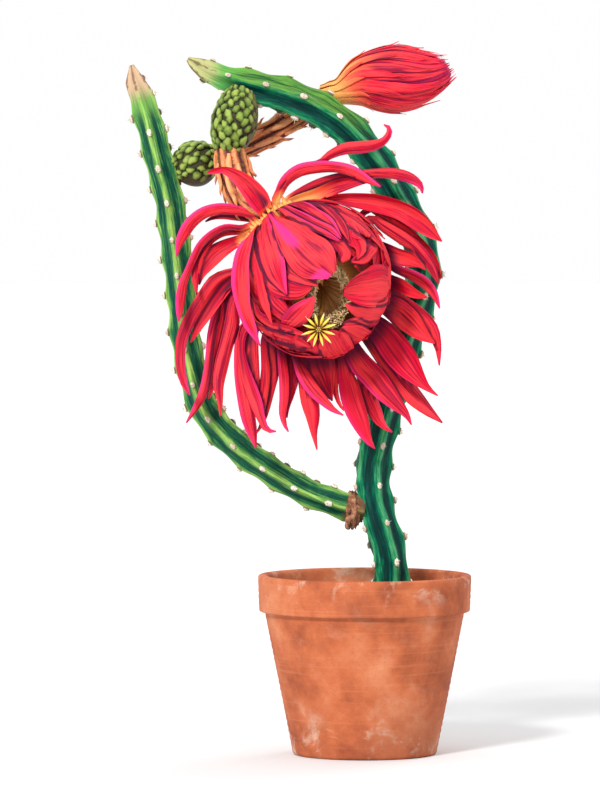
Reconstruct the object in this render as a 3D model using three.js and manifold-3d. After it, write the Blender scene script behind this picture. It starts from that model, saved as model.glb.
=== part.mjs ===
// A potted night-blooming cactus: two ribbed stems, one open red bloom and one bud, in a plain
// clay pot. Millimetres, +Z up, seen from the front along +Y. Origin under the middle of the pot.
import * as THREE from 'three';
import { mergeVertices } from 'three/addons/utils/BufferGeometryUtils.js';
import Module from 'manifold-3d';

const wasm = await Module();
wasm.setup();

// Driving dimensions
const gap = 0.35; // clear space left between two pieces that touch
const bladeThickness = 0.9;
const leastHalfWidth = 0.62;
const narrow = 9.5; // blades under this width are flat across, wider ones are channelled
const goldenTurn = 2.4; // radians from one scale or bud petal to the next

const pot = {
  height: 118,
  rimRadius: 70,
  rimBand: 24,
  bodyTopRadius: 65.5,
  footRadius: 47,
  wall: 5,
  floor: 6,
  sides: 32,
  drainRadius: 4,
  drainRing: 28,
  drainSides: 12,
  drains: 3,
  bevel: 1.5,
};
const soil = { level: 104, crown: 3, roughness: 0.9, rings: 5, sides: 26 };

const mainStem = {
  ribs: 5,
  radius: 13.2,
  valley: 0.66,
  areoleSpacing: 26,
  crenation: 0.07,
  turn: 0.35,
};
const sideStem = {
  ribs: 5,
  radius: 11.4,
  valley: 0.7,
  areoleSpacing: 24,
  crenation: 0.07,
  turn: 1.1,
};

// Where the tepals join the tube, and the ball that the inner petals close around
const bloom = {
  base: new THREE.Vector3(-61.5, -30, 354),
  centre: new THREE.Vector3(-32, -54, 315),
  ballRadius: 46,
  sag: 1.1, // how much longer the ball is below its centre than above it
  mouthAxis: new THREE.Vector3(0.273, -0.905, -0.325).normalize(),
  mouthAngle: 0.6,
  innerPetals: 9,
  coveredPetals: [3, 4], // these would lie wholly under the front petals
  innerWidth: 24,
  innerRoll: 0.13,
  innerShares: [0.3, 0.45, 0.6, 0.8, 1], // where on their way to the mouth the inner petals have points
};
const bloomAxis = bloom.centre.clone().sub(bloom.base).normalize();
const towardsBase = bloomAxis.clone().negate();
const front = new THREE.Vector3(0, -1, 0);

// Solids for joining and cutting

function solidOf(geometry) {
  const bare = geometry.clone();
  bare.deleteAttribute('normal');
  bare.deleteAttribute('uv');
  const merged = mergeVertices(bare, 1e-4);
  return new wasm.Manifold(new wasm.Mesh({
    numProp: 3,
    vertProperties: new Float32Array(merged.attributes.position.array),
    triVerts: new Uint32Array(merged.index.array),
  }));
}

function geometryOf(solid) {
  const mesh = solid.getMesh();
  const geometry = new THREE.BufferGeometry();
  geometry.setAttribute('position', new THREE.BufferAttribute(mesh.vertProperties, 3));
  geometry.setIndex(new THREE.BufferAttribute(mesh.triVerts, 1));
  geometry.computeVertexNormals();
  return geometry;
}

// Joins solids into one body, fills any hollow that this seals and drops loose scraps
function fused(solids) {
  const bodies = wasm.Manifold.union(solids).decompose();
  return bodies.reduce((best, body) => (body.volume() > best.volume() ? body : best));
}

function clearedOf(solid, neighbours) {
  return fused([neighbours.reduce((rest, other) => rest.subtract(other), solid)]);
}

function geometryFrom(points, index) {
  const geometry = new THREE.BufferGeometry();
  geometry.setAttribute('position', new THREE.Float32BufferAttribute(points.flatMap((p) => p.toArray()), 3));
  geometry.setIndex(index);
  return geometry;
}

// A closed skin over rings of points, each ring turning anticlockwise about the way forward.
// Where the rings are knobbly, crossed picks the other diagonal so that each knob stands alone.
function skin(rings, crossed = () => false) {
  const count = rings[0].length;
  const last = (rings.length - 1) * count;
  const points = rings.flat();
  const index = [];
  for (let i = 0; i < rings.length - 1; i += 1) {
    for (let j = 0; j < count; j += 1) {
      const a = i * count + j;
      const b = i * count + ((j + 1) % count);
      if (crossed(i, j)) index.push(a, b, a + count, b, b + count, a + count);
      else index.push(a, b, b + count, a, b + count, a + count);
    }
  }
  const middle = (ring) => ring.reduce((sum, p) => sum.add(p), new THREE.Vector3()).divideScalar(count);
  const startPole = points.push(middle(rings[0])) - 1;
  const endPole = points.push(middle(rings[rings.length - 1])) - 1;
  for (let j = 0; j < count; j += 1) {
    const next = (j + 1) % count;
    index.push(startPole, next, j, endPole, last + j, last + next);
  }
  return solidOf(geometryFrom(points, index));
}

// Stations along a smooth curve, with a sideways direction that turns as little as it can
function stations(points, steps, firstRight) {
  const curve = new THREE.CatmullRomCurve3(points, false, 'centripetal');
  const list = [];
  let right = firstRight;
  for (let i = 0; i <= steps; i += 1) {
    const share = i / steps;
    const forward = curve.getTangentAt(share);
    right = right.clone().addScaledVector(forward, -right.dot(forward)).normalize();
    const up = right.clone().cross(forward);
    list.push({ share, point: curve.getPointAt(share), forward, right, up });
  }
  return { list, length: curve.getLength() };
}

function place(station, sideways, upwards) {
  return station.point.clone()
    .addScaledVector(station.right, sideways)
    .addScaledVector(station.up, upwards);
}

// A thin blade along a path. Both faces are split into triangles the same way, so they never cross.
function blade({
  path, right, width, steps, cup = 0, roll = 0, outline = strapOutline, thickness = bladeThickness,
}) {
  const columns = width < narrow ? [-1, 1] : [-1, 0, 1];
  const across = columns.length;
  const { list } = stations(path, steps, right);
  const upper = [];
  const lower = [];
  for (const station of list) {
    const half = Math.max((width / 2) * outline(station.share), leastHalfWidth);
    for (const column of columns) {
      const side = column * half;
      const lift = cup * (half / width) * 2 * (1 - column * column);
      for (const [face, rise] of [[upper, thickness / 2], [lower, -thickness / 2]]) {
        const height = lift + rise;
        face.push(place(
          station,
          side * Math.cos(roll) - height * Math.sin(roll),
          side * Math.sin(roll) + height * Math.cos(roll),
        ));
      }
    }
  }
  const total = upper.length;
  const index = [];
  const quad = (a, b, c, d) => index.push(a, b, c, a, c, d);
  for (let i = 0; i < steps; i += 1) {
    const row = i * across;
    for (let k = 0; k < across - 1; k += 1) {
      const a = row + k;
      index.push(a, a + 1, a + 1 + across, a, a + 1 + across, a + across);
      const b = a + total;
      index.push(b, b + 1 + across, b + 1, b, b + across, b + 1 + across);
    }
    const far = row + across - 1;
    quad(row, row + across, row + across + total, row + total);
    quad(far, far + total, far + total + across, far + across);
  }
  const end = steps * across;
  for (let k = 0; k < across - 1; k += 1) {
    quad(k, k + total, k + 1 + total, k + 1);
    quad(end + k, end + k + 1, end + k + 1 + total, end + k + total);
  }
  return solidOf(geometryFrom([...upper, ...lower], index));
}

function strapOutline(share) {
  const opening = 0.5 + 0.5 * Math.sin(Math.min(share / 0.5, 1) * Math.PI / 2);
  const closing = 1 - Math.max(0, (share - 0.5) / 0.5) ** 2.2;
  return opening * closing;
}

function spoonOutline(share) {
  const opening = 0.3 + 0.7 * Math.sin(Math.min(share / 0.6, 1) * Math.PI / 2);
  const closing = Math.sqrt(Math.max(0, 1 - Math.max(0, (share - 0.6) / 0.42) ** 2));
  return opening * closing;
}

// A surface of revolution from an outline of [radius, height], standing on the Z axis
function turned(outline, sides) {
  const profile = outline.map(([radius, height]) => new THREE.Vector2(radius, height));
  return new THREE.LatheGeometry(profile, sides).rotateX(Math.PI / 2);
}

// Pot and soil

function potInnerRadius(height) {
  const foot = pot.footRadius - pot.wall;
  const top = pot.rimRadius - pot.wall - 1;
  return foot + (top - foot) * (height - pot.floor) / (pot.height - pot.floor);
}

function potSolid() {
  const band = pot.height - pot.rimBand;
  const shell = solidOf(turned([
    [0, 0],
    [pot.footRadius - 2, 0],
    [pot.footRadius, 2],
    [pot.bodyTopRadius, band],
    [pot.rimRadius - pot.bevel, band],
    [pot.rimRadius - 0.5, band + pot.bevel],
    [pot.rimRadius, pot.height - 2 * pot.bevel],
    [pot.rimRadius - 2, pot.height],
    [potInnerRadius(pot.height) + pot.bevel, pot.height],
    [potInnerRadius(pot.height - pot.bevel), pot.height - pot.bevel],
    [potInnerRadius(pot.floor), pot.floor],
    [0, pot.floor],
  ], pot.sides));
  const drains = [];
  for (let i = 0; i < pot.drains; i += 1) {
    const angle = Math.PI / 2 + (i * Math.PI * 2) / pot.drains;
    const drain = new THREE.CylinderGeometry(pot.drainRadius, pot.drainRadius, pot.floor * 3, pot.drainSides);
    drain.rotateX(Math.PI / 2);
    drain.translate(pot.drainRing * Math.cos(angle), pot.drainRing * Math.sin(angle), pot.floor / 2);
    drains.push(solidOf(drain));
  }
  return clearedOf(shell, drains);
}

function soilSolid() {
  const bottom = pot.floor + gap;
  const edge = potInnerRadius(soil.level) - gap;
  const outline = [[0, bottom], [potInnerRadius(bottom) - gap, bottom], [edge, soil.level]];
  for (let i = soil.rings - 1; i >= 0; i -= 1) {
    const share = i / soil.rings;
    outline.push([edge * share, soil.level + soil.crown * (1 - share * share)]);
  }
  const geometry = turned(outline, soil.sides);
  const position = geometry.attributes.position;
  for (let i = 0; i < position.count; i += 1) {
    const x = position.getX(i);
    const y = position.getY(i);
    const z = position.getZ(i);
    const inside = Math.hypot(x, y) < edge - 1 && z > soil.level - 1;
    const bump = Math.sin(x * 0.31 + 1) * Math.cos(y * 0.27) + Math.sin(x * 0.11 - y * 0.19);
    position.setZ(i, inside ? z + soil.roughness * bump : z);
  }
  return solidOf(geometry);
}

// Stems: each row is x, y, z of the centre line and the share of the full radius there

const mainStemRows = [
  [17, 0, 75, 0.9],
  [17, 0, 106, 0.96],
  [16, 0, 129, 0.98],
  [10.5, 0, 150, 0.98],
  [6, 1, 167, 1],
  [5, 2, 187, 1],
  [9, 3, 211, 1],
  [16, 4, 237, 1],
  [26, 5, 273, 1],
  [34.5, 5, 299, 1],
  [37, 5, 315, 1],
  [35.5, 5, 334, 1],
  [28, 5, 352, 1],
  [19, 4, 368, 1],
  [5, 3, 390, 1],
  [-16, 2, 413, 1],
  [-40, 2, 427, 1],
  [-68, 2, 436, 0.95],
  [-88, 2, 441.5, 0.78],
  [-102, 2, 447, 0.62],
  [-111, 2, 452.5, 0.4],
  [-116, 2, 456, 0.12],
];
const sideStemRows = [
  [0, -1, 161, 0.92],
  [-12, -1, 163.5, 0.92],
  [-37, -1, 172.5, 0.92],
  [-57.5, 0, 184, 0.94],
  [-74, 1, 195, 0.97],
  [-88, 2, 207, 1],
  [-104, 3, 226, 1],
  [-112.5, 4, 251, 1],
  [-117, 5, 274, 1],
  [-119, 5, 296, 1],
  [-121, 6, 316, 1],
  [-124, 6, 338, 1],
  [-128, 7, 365, 0.97],
  [-134, 7, 388, 0.95],
  [-139, 7, 408, 0.92],
  [-145, 8, 428, 0.84],
  [-150, 8, 442, 0.6],
  [-153, 8, 452, 0.14],
];

function stemSolid(stem, rows, grow = 0) {
  const points = rows.map(([x, y, z]) => new THREE.Vector3(x, y, z));
  const { length } = stations(points, 1, front);
  const steps = Math.round((2 * length) / stem.areoleSpacing);
  const { list } = stations(points, steps, new THREE.Vector3(1, 0, 0));
  const curve = new THREE.CatmullRomCurve3(points, false, 'centripetal');
  const rings = list.map((station) => {
    const row = curve.getUtoTmapping(station.share) * (rows.length - 1);
    const below = Math.min(Math.floor(row), rows.length - 2);
    const full = stem.radius * THREE.MathUtils.lerp(rows[below][3], rows[below + 1][3], row - below);
    const ring = [];
    for (let j = 0; j < stem.ribs * 3; j += 1) {
      const rib = Math.floor((j + 1) / 3) % stem.ribs;
      const onCrest = j % 3 === 0;
      const angle = stem.turn + (j * Math.PI * 2) / (stem.ribs * 3);
      const along = (station.share * length) / stem.areoleSpacing + rib * 0.5;
      const wave = stem.crenation * Math.cos(along * Math.PI * 2);
      const radius = full * (onCrest ? 1 - stem.crenation + wave : stem.valley) + grow;
      ring.push(place(station, radius * Math.sin(angle), radius * Math.cos(angle)));
    }
    return ring;
  });
  return skin(rings);
}

// The corky heel where the side stem grows out of the main stem
const heel = { centre: [-7, -1, 160], radii: [5, 12, 13] };

function heelSolid() {
  const geometry = new THREE.SphereGeometry(1, 12, 8);
  const position = geometry.attributes.position;
  for (let i = 0; i < position.count; i += 1) {
    const p = new THREE.Vector3().fromBufferAttribute(position, i);
    p.multiplyScalar(1 + 0.05 * Math.sin(p.x * 9 + 1) * Math.cos(p.z * 7) * (1 - p.y * p.y));
    position.setXYZ(i, p.x, p.y, p.z);
  }
  geometry.scale(...heel.radii);
  geometry.translate(...heel.centre);
  return solidOf(geometry);
}

// Ovaries: an egg whose surface rises in staggered tubercles, and whose two ends are cut a little flat

const bloomOvary = {
  start: [-79.2, -14, 436.4],
  end: [-89.5, -18, 395.5],
  radius: 15.2,
  tubercle: 0.9,
  around: 24,
  along: 16,
};
const budOvary = {
  start: [-124.5, 5, 383],
  end: [-98, 8, 390],
  radius: 15.4,
  tubercle: 0.9,
  around: 22,
  along: 10,
};
const eggEnds = { first: 0.09, reach: 0.8, bluntness: 0.6 };

function ovarySolid(ovary, grow = 0) {
  const start = new THREE.Vector3(...ovary.start);
  const end = new THREE.Vector3(...ovary.end);
  const { list } = stations([start, end], ovary.along, front);
  return skin(list.map((station, i) => {
    const turn = Math.PI * (eggEnds.first + eggEnds.reach * station.share);
    const girth = ovary.radius * Math.sin(turn) ** eggEnds.bluntness;
    const ring = [];
    for (let j = 0; j < ovary.around; j += 1) {
      const angle = (j * Math.PI * 2) / ovary.around;
      const ending = i === 0 || i === ovary.along;
      const rise = ending || (i + j) % 2 ? -ovary.tubercle : ovary.tubercle;
      const radius = girth + rise + grow;
      ring.push(place(station, radius * Math.sin(angle), radius * Math.cos(angle)));
    }
    return ring;
  }), (i, j) => (i + j) % 2 === 0);
}

// Flower tubes: ribbed, with small pointed scales that lean the way the flower grows

const bloomTube = {
  points: [[-88, -18, 398], [-86, -19, 385], [-81.5, -22, 371], [-73, -26, 360], [-61.5, -30, 354]],
  radii: [9.5, 10.6, 10, 9.2, 8.6],
};
const budTube = {
  points: [[-102, 8, 389], [-86, 12, 396], [-70, 16, 403.5], [-56, 21, 411], [-44, 25.5, 419],
    [-33, 26, 427], [-23, 22, 434]],
  radii: [8, 7.6, 7.4, 7.4, 7.4, 7, 6.4],
};
const tubeRibs = { count: 7, depth: 0.9 };
const tubeScales = { count: 5, first: 0.1, spread: 0.74, width: 5, reach: 8 };

function radiusAlong(radii, share) {
  const row = share * (radii.length - 1);
  const below = Math.min(Math.floor(row), radii.length - 2);
  return THREE.MathUtils.lerp(radii[below], radii[below + 1], row - below);
}

function tubeSolid(tube, grow = 0) {
  const points = tube.points.map((p) => new THREE.Vector3(...p));
  const { list, length } = stations(points, tube.points.length + 4, new THREE.Vector3(0, 1, 0));
  const body = skin(list.map((station) => {
    const ring = [];
    for (let j = 0; j < tubeRibs.count * 2; j += 1) {
      const angle = (j * Math.PI) / tubeRibs.count;
      const radius = radiusAlong(tube.radii, station.share) - (j % 2) * tubeRibs.depth + grow;
      ring.push(place(station, radius * Math.sin(angle), radius * Math.cos(angle)));
    }
    return ring;
  }));
  const scales = [];
  for (let i = 0; i < tubeScales.count; i += 1) {
    const share = tubeScales.first + (tubeScales.spread * i) / tubeScales.count;
    const angle = i * goldenTurn;
    const station = list[Math.round(share * (list.length - 1))];
    const outward = station.up.clone().multiplyScalar(Math.cos(angle))
      .addScaledVector(station.right, Math.sin(angle));
    const radius = radiusAlong(tube.radii, share);
    const step = (along, out) => station.point.clone()
      .addScaledVector(station.forward, along)
      .addScaledVector(outward, radius + out);
    const reach = tubeScales.reach + length / 40 + 2 * grow;
    scales.push(blade({
      path: [step(-1, -2.5), step(2.5, -0.4), step(reach, 2.6)],
      right: station.forward.clone().cross(outward),
      width: tubeScales.width + 3 * grow,
      thickness: bladeThickness + 2 * grow,
      steps: 2,
    }));
  }
  return fused([body, ...scales]);
}

// Bloom: outer tepals. Each has a width, the depth of its tip, and x, z of the points that show.
const tepals = [
  { width: 9, tip: -33, front: -42, points: [[-64, 360], [-69, 370], [-79, 381], [-90, 386], [-102, 382]] },
  { width: 7, tip: -36, points: [[-75, 356], [-90, 358], [-103, 355],
    [-113, 348], [-118, 339], [-122, 327]] },
  { width: 5, tip: -28, points: [[-72, 351], [-86, 352], [-103, 350]] },
  { width: 6, tip: -40, points: [[-75, 346], [-88, 347], [-100, 343], [-107, 335], [-111, 324],
    [-111, 314], [-110, 303]] },
  { width: 8, tip: -30, points: [[-80, 338], [-93, 333], [-103, 325], [-108, 314]] },
  { width: 6, tip: -46, points: [[-79, 342], [-97, 339], [-110, 327],
    [-117, 312], [-119, 297], [-120, 285]] },
  { width: 8.5, tip: -50, points: [[-85, 319], [-97, 308], [-107, 294], [-116, 279], [-119, 264],
    [-119, 251], [-114, 238]] },
  { width: 6, tip: -30, points: [[-92, 302], [-98, 287], [-101, 271], [-101, 257], [-104, 241],
    [-110, 227], [-116, 220]] },
  { width: 9, tip: -36, points: [[-88, 305], [-93, 287], [-96, 267],
    [-98, 251], [-102, 237], [-106, 226]] },
  { width: 8, tip: -52, points: [[-82, 294], [-86, 281], [-90, 266], [-94, 254], [-95, 241], [-94, 224]] },
  { width: 11, tip: -58, points: [[-78, 284], [-82, 261], [-78, 241], [-75, 221], [-71, 204]] },
  { width: 6, tip: -46, points: [[-76, 268], [-75, 247], [-70, 232], [-65, 219], [-58, 215]] },
  { width: 6, tip: -30, points: [[-60, 265], [-60, 251], [-63, 234], [-67, 221], [-71, 212]] },
  { width: 10, tip: -34, points: [[-71, 275], [-71, 261], [-69, 246], [-68, 231]] },
  { width: 11, tip: -56, points: [[-50, 264], [-49, 249], [-51, 234], [-53, 222], [-50, 215]] },
  { width: 10, tip: -48, points: [[-40, 262], [-36, 241], [-35, 226], [-35, 214], [-31, 203]] },
  { width: 18, tip: -36, points: [[-30, 265], [-28, 249], [-21, 233]] },
  { width: 6, tip: -62, points: [[-44, 263], [-37, 247], [-28, 235], [-12, 225]] },
  { width: 10, tip: -44, points: [[-17, 265], [-14, 247], [-9, 229], [-2, 214], [6, 203]] },
  { width: 11.5, tip: -58, points: [[-7, 270], [3, 253], [12, 241], [20, 231], [29, 220]] },
  { width: 8, tip: -30, points: [[-3, 255], [4, 237], [9, 224], [18, 213]] },
  { width: 14, tip: -60, points: [[7, 286], [17, 269], [27, 256], [36, 247], [46, 239]] },
  { width: 11, tip: -38, points: [[6, 270], [18, 252], [30, 238], [41, 227], [50, 220]] },
  { width: 14, tip: -40, points: [[11, 296], [22, 289], [32, 279], [44, 270]] },
  { width: 8, tip: -34, points: [[16, 306], [34, 294], [44, 282], [47, 269], [48, 256]] },
  { width: 8, tip: -56, points: [[14, 317], [22, 308], [30, 303], [40, 302]] },
  { width: 9, tip: -44, points: [[12, 333], [22, 324], [33, 314], [43, 306], [47, 295]] },
  { width: 8, tip: -60, points: [[8, 343], [17, 336], [27, 329], [38, 321]] },
  { width: 6, tip: -36, points: [[4, 354], [20, 346], [35, 334], [45, 324], [49, 318]] },
  { width: 10, tip: -46, points: [[-19, 361], [-3, 363], [15, 360], [32, 353], [49, 338]] },
  { width: 8, tip: -62, points: [[-44, 364], [-27, 364], [-7, 357], [13, 343]] },
  { width: 9, tip: -70, points: [[-40, 361], [-20, 356], [-2, 346], [11, 333]] },
  { width: 7, tip: -26, points: [[-55, 366], [-43, 378], [-28, 388], [-17, 394], [-2, 397],
    [10, 401], [16, 407], [13, 413]] },
  { width: 7, tip: -50, points: [[-58, 364], [-50, 378], [-35, 385], [-17, 386], [0, 380], [10, 373]] },
  { width: 6, tip: -34, points: [[-47, 364], [-32, 372], [-12, 379], [8, 381], [27, 379], [37, 370]] },
  { width: 7, tip: -44, points: [[-43, 366], [-27, 371], [-10, 375], [10, 374]] },
];

// A tepal that starts out of sight lies on the back of the ball first, and leaves it where its
// spread leans this far back. One that starts close to the tube springs straight from it.
const tepalRoots = {
  leanBack: 0.36,
  closeToTube: 0.75, // radians round the ball
  behind: [[0, 4], [0.5, -1.5], [1, -1]], // share of the way to where it leaves, and how deep it lies
  ring: 6,
};

// Where a tepal that spreads this way lies flat on the back of the ball
function backOfBall(spread) {
  return new THREE.Vector3(0, 1, 0)
    .addScaledVector(towardsBase, 0.4)
    .addScaledVector(spread, 0.7)
    .normalize();
}

function tepalSolid(tepal) {
  const [firstX, firstZ] = tepal.points[0];
  const spread = new THREE.Vector3(firstX - bloom.centre.x, 0, firstZ - bloom.centre.z).normalize();
  const release = spread.clone().setY(tepalRoots.leanBack).normalize();
  const behind = towardsBase.angleTo(release) > tepalRoots.closeToTube;
  const path = [];
  for (const [share, sink] of behind ? tepalRoots.behind : []) {
    const away = backOfBall(spread).lerp(release, share).normalize();
    path.push(bloom.centre.clone().addScaledVector(away, bloom.ballRadius - sink));
  }
  const start = tepal.front ?? (behind ? path[path.length - 1].y - 2 : bloom.base.y - 6);
  const shown = behind ? tepal.points.slice(1) : tepal.points;
  if (!behind) {
    const rootSide = new THREE.Vector3(firstX - bloom.base.x, 0, firstZ - bloom.base.z);
    rootSide.addScaledVector(bloomAxis, -rootSide.dot(bloomAxis)).setLength(tepalRoots.ring);
    path.push(bloom.base.clone().addScaledVector(bloomAxis, 2).add(rootSide));
  }
  shown.forEach(([x, z], i) => {
    const share = (i + 1) / shown.length;
    path.push(new THREE.Vector3(x, THREE.MathUtils.lerp(start, tepal.tip, share), z));
  });
  const forward = path[1].clone().sub(path[0]).normalize();
  const outward = behind ? path[0].clone().sub(bloom.centre) : front;
  return blade({
    path,
    right: forward.cross(outward).normalize(),
    width: tepal.width * 1.12,
    steps: 5,
    cup: -0.12 * tepal.width,
  });
}

// Bloom: short outer sepals that spread from the base over the back of the ball
const sepals = { count: 9, skipped: [0, 1, 8], width: 17, lift: 3.6, reach: [0.25, 0.7, 1.2] };

function sepalSolid(i) {
  const side = front.clone().addScaledVector(bloomAxis, -front.dot(bloomAxis)).normalize();
  const angle = (i * Math.PI * 2) / sepals.count;
  const spread = side.applyAxisAngle(bloomAxis, angle);
  const path = sepals.reach.map((turn, k) => bloom.centre.clone()
    .addScaledVector(towardsBase, (bloom.ballRadius + sepals.lift) * Math.cos(turn))
    .addScaledVector(spread, (bloom.ballRadius + sepals.lift + (k === 2 ? 2 : 0)) * Math.sin(turn)));
  const forward = path[1].clone().sub(path[0]).normalize();
  return blade({
    path,
    right: forward.cross(path[0].clone().sub(bloom.centre)).normalize(),
    width: sepals.width,
    steps: 3,
    cup: 2,
  });
}

// Bloom: petals that lie over the front of the ball, from the base towards the mouth
const overPetals = [
  { width: 13, lift: 4, points: [[-74, 342], [-80, 325], [-81, 307], [-77, 289], [-68, 271]] },
  { width: 9, lift: 3, points: [[-71, 340], [-72, 319], [-68, 301], [-60, 283]] },
  { width: 19, lift: 4, points: [[-65, 349], [-65, 334], [-60, 319], [-51, 305]] },
  { width: 29, lift: 5, points: [[-60, 351], [-46, 339], [-31, 328], [-19, 316]] },
  { width: 6, lift: 5.5, points: [[-56, 355], [-42, 351], [-27, 346], [-14, 339]] },
  { width: 12, lift: 3, points: [[-54, 360], [-40, 359], [-25, 351], [-11, 338]] },
];

// The depth of the front of the ball, raised by lift, under a point of the front view
function frontDepth(x, z, lift) {
  const radius = bloom.ballRadius + lift;
  const away = Math.hypot(x - bloom.centre.x, z - bloom.centre.z);
  return bloom.centre.y - Math.sqrt(Math.max(radius * radius - away * away, 0));
}

function overPetalSolid(petal) {
  const path = [bloom.base.clone().addScaledVector(bloomAxis, 3)];
  petal.points.forEach(([x, z], i) => {
    const onBall = frontDepth(x, z, petal.lift);
    const share = Math.min((i + 0.6) / 1.6, 1);
    path.push(new THREE.Vector3(x, THREE.MathUtils.lerp(bloom.base.y - 6, onBall, share), z));
  });
  const forward = path[1].clone().sub(path[0]).normalize();
  const outward = path[1].clone().sub(bloom.centre);
  return blade({
    path,
    right: forward.cross(outward).normalize(),
    width: petal.width,
    steps: 5,
    cup: petal.width * 0.16,
    outline: petal.width > 15 ? spoonOutline : strapOutline,
  });
}

// Bloom: broad inner petals, which run round the ball and close in on the mouth
function innerPetalSolid(i) {
  const side = new THREE.Vector3(1, 0, 0);
  side.addScaledVector(bloom.mouthAxis, -side.dot(bloom.mouthAxis)).normalize();
  const other = bloom.mouthAxis.clone().cross(side);
  const angle = (i * Math.PI * 2) / bloom.innerPetals;
  const equator = side.clone().multiplyScalar(Math.cos(angle)).addScaledVector(other, Math.sin(angle));
  const rim = bloom.mouthAxis.clone().multiplyScalar(Math.cos(bloom.mouthAngle))
    .addScaledVector(equator, Math.sin(bloom.mouthAngle));
  const path = [];
  for (const t of bloom.innerShares) {
    const away = towardsBase.clone().multiplyScalar((1 - t) * (1 - t))
      .addScaledVector(equator, 3.2 * t * (1 - t)).addScaledVector(rim, t * t).normalize();
    const sink = t === bloom.innerShares[0] ? 5 : 3 * t ** 4;
    away.z *= away.z < 0 ? bloom.sag : 1;
    path.push(bloom.centre.clone().addScaledVector(away, bloom.ballRadius - sink));
  }
  const forward = path[1].clone().sub(path[0]).normalize();
  return blade({
    path,
    right: forward.cross(path[0].clone().sub(bloom.centre)).normalize(),
    width: bloom.innerWidth,
    steps: 5,
    cup: 2,
    roll: bloom.innerRoll,
    outline: spoonOutline,
  });
}

// Bloom: a small cup inside the petals, open at the mouth, which holds stamens and style.
// Its outline is radius and height along the mouth axis from the centre of the ball.
const cup = {
  radius: 43,
  throat: [[24.5, 34], [25, 26], [23, 12], [17, 0], [8, -6], [0, -8]],
  rimAngle: 0.92,
  sides: 18,
  bands: 6,
  funnel: [8, 15, 22], // radii from the tube into the ball
  funnelSides: 14,
};

function alongMouth(solid) {
  const turn = new THREE.Quaternion().setFromUnitVectors(new THREE.Vector3(0, 0, 1), bloom.mouthAxis);
  const placing = new THREE.Matrix4().compose(bloom.centre, turn, new THREE.Vector3(1, 1, 1));
  return solid.transform(placing.toArray());
}

function cupSolid() {
  const outline = [];
  for (let i = 0; i <= cup.bands; i += 1) {
    const angle = THREE.MathUtils.lerp(-Math.PI / 2, cup.rimAngle, i / cup.bands);
    outline.push([cup.radius * Math.cos(angle), cup.radius * Math.sin(angle)]);
  }
  outline[0][0] = 0;
  const body = alongMouth(solidOf(turned([...outline, ...cup.throat], cup.sides)));
  const neck = stations([bloom.base, bloom.centre], 4, front).list.slice(0, 3);
  const funnel = skin(neck.map((station, i) => {
    const ring = [];
    for (let j = 0; j < cup.funnelSides; j += 1) {
      const angle = (j * Math.PI * 2) / cup.funnelSides;
      ring.push(place(station, cup.funnel[i] * Math.sin(angle), cup.funnel[i] * Math.cos(angle)));
    }
    return ring;
  }));
  const [mouthRadius] = cup.throat[0];
  const above = [[mouthRadius, cup.radius + 8], [0, cup.radius + 8]];
  const hollow = alongMouth(solidOf(turned([...cup.throat.toReversed(), ...above], cup.sides)));
  return fused([body, funnel]).subtract(hollow);
}

// Bloom: stamens stand on the throat wall as a fringed sleeve with a crowd of anthers on its edge.
// Each row of the sleeve's cross-section is radius, height and the share of the anthers' swing.
const stamens = {
  filaments: 18,
  anther: 1.3,
  section: [
    [16.2, 1, 0], [22.3, 13, 0], [24.2, 26, 0], [23.9, 35, 0.3], [22.5, 38, 1], [20, 39, 1],
    [17.4, 38, 1], [16.4, 35.5, 1], [18.6, 31, 0.5], [20.6, 25, 0.4], [19.6, 13, 0.4], [14.4, 2.4, 0],
  ],
  innerFrom: 6, // rows after this one are on the inside of the sleeve
};

function stamenSolid() {
  const points = [];
  const index = [];
  const around = stamens.filaments * 2;
  for (let j = 0; j < around; j += 1) {
    const angle = (j * Math.PI * 2) / around;
    stamens.section.forEach(([radius, height, fringe], k) => {
      const swing = fringe * stamens.anther * ((j + k) % 2 ? 0.5 : -0.5);
      const r = radius - Math.abs(swing) * 0.6 + (k > stamens.innerFrom ? swing : 0);
      points.push(new THREE.Vector3(r * Math.cos(angle), r * Math.sin(angle), height + swing));
    });
  }
  const rows = stamens.section.length;
  for (let j = 0; j < around; j += 1) {
    const next = ((j + 1) % around) * rows;
    for (let k = 0; k < rows; k += 1) {
      const up = (k + 1) % rows;
      index.push(j * rows + k, next + k, next + up, j * rows + k, next + up, j * rows + up);
    }
  }
  return alongMouth(solidOf(geometryFrom(points, index)));
}

// Bloom: the style and its star of pointed lobes
const stigma = {
  lobes: 12,
  length: 11.5,
  width: 2.8,
  hub: 3.2,
  hubHeight: 2.4,
  styleRadius: 1.4,
  styleSides: 6,
  styleFoot: 7, // below the middle of the ball
  stylePoints: [[-28, -74, 304], [-29.5, -90, 288]],
  centre: new THREE.Vector3(-30.5, -96, 282),
};

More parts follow.
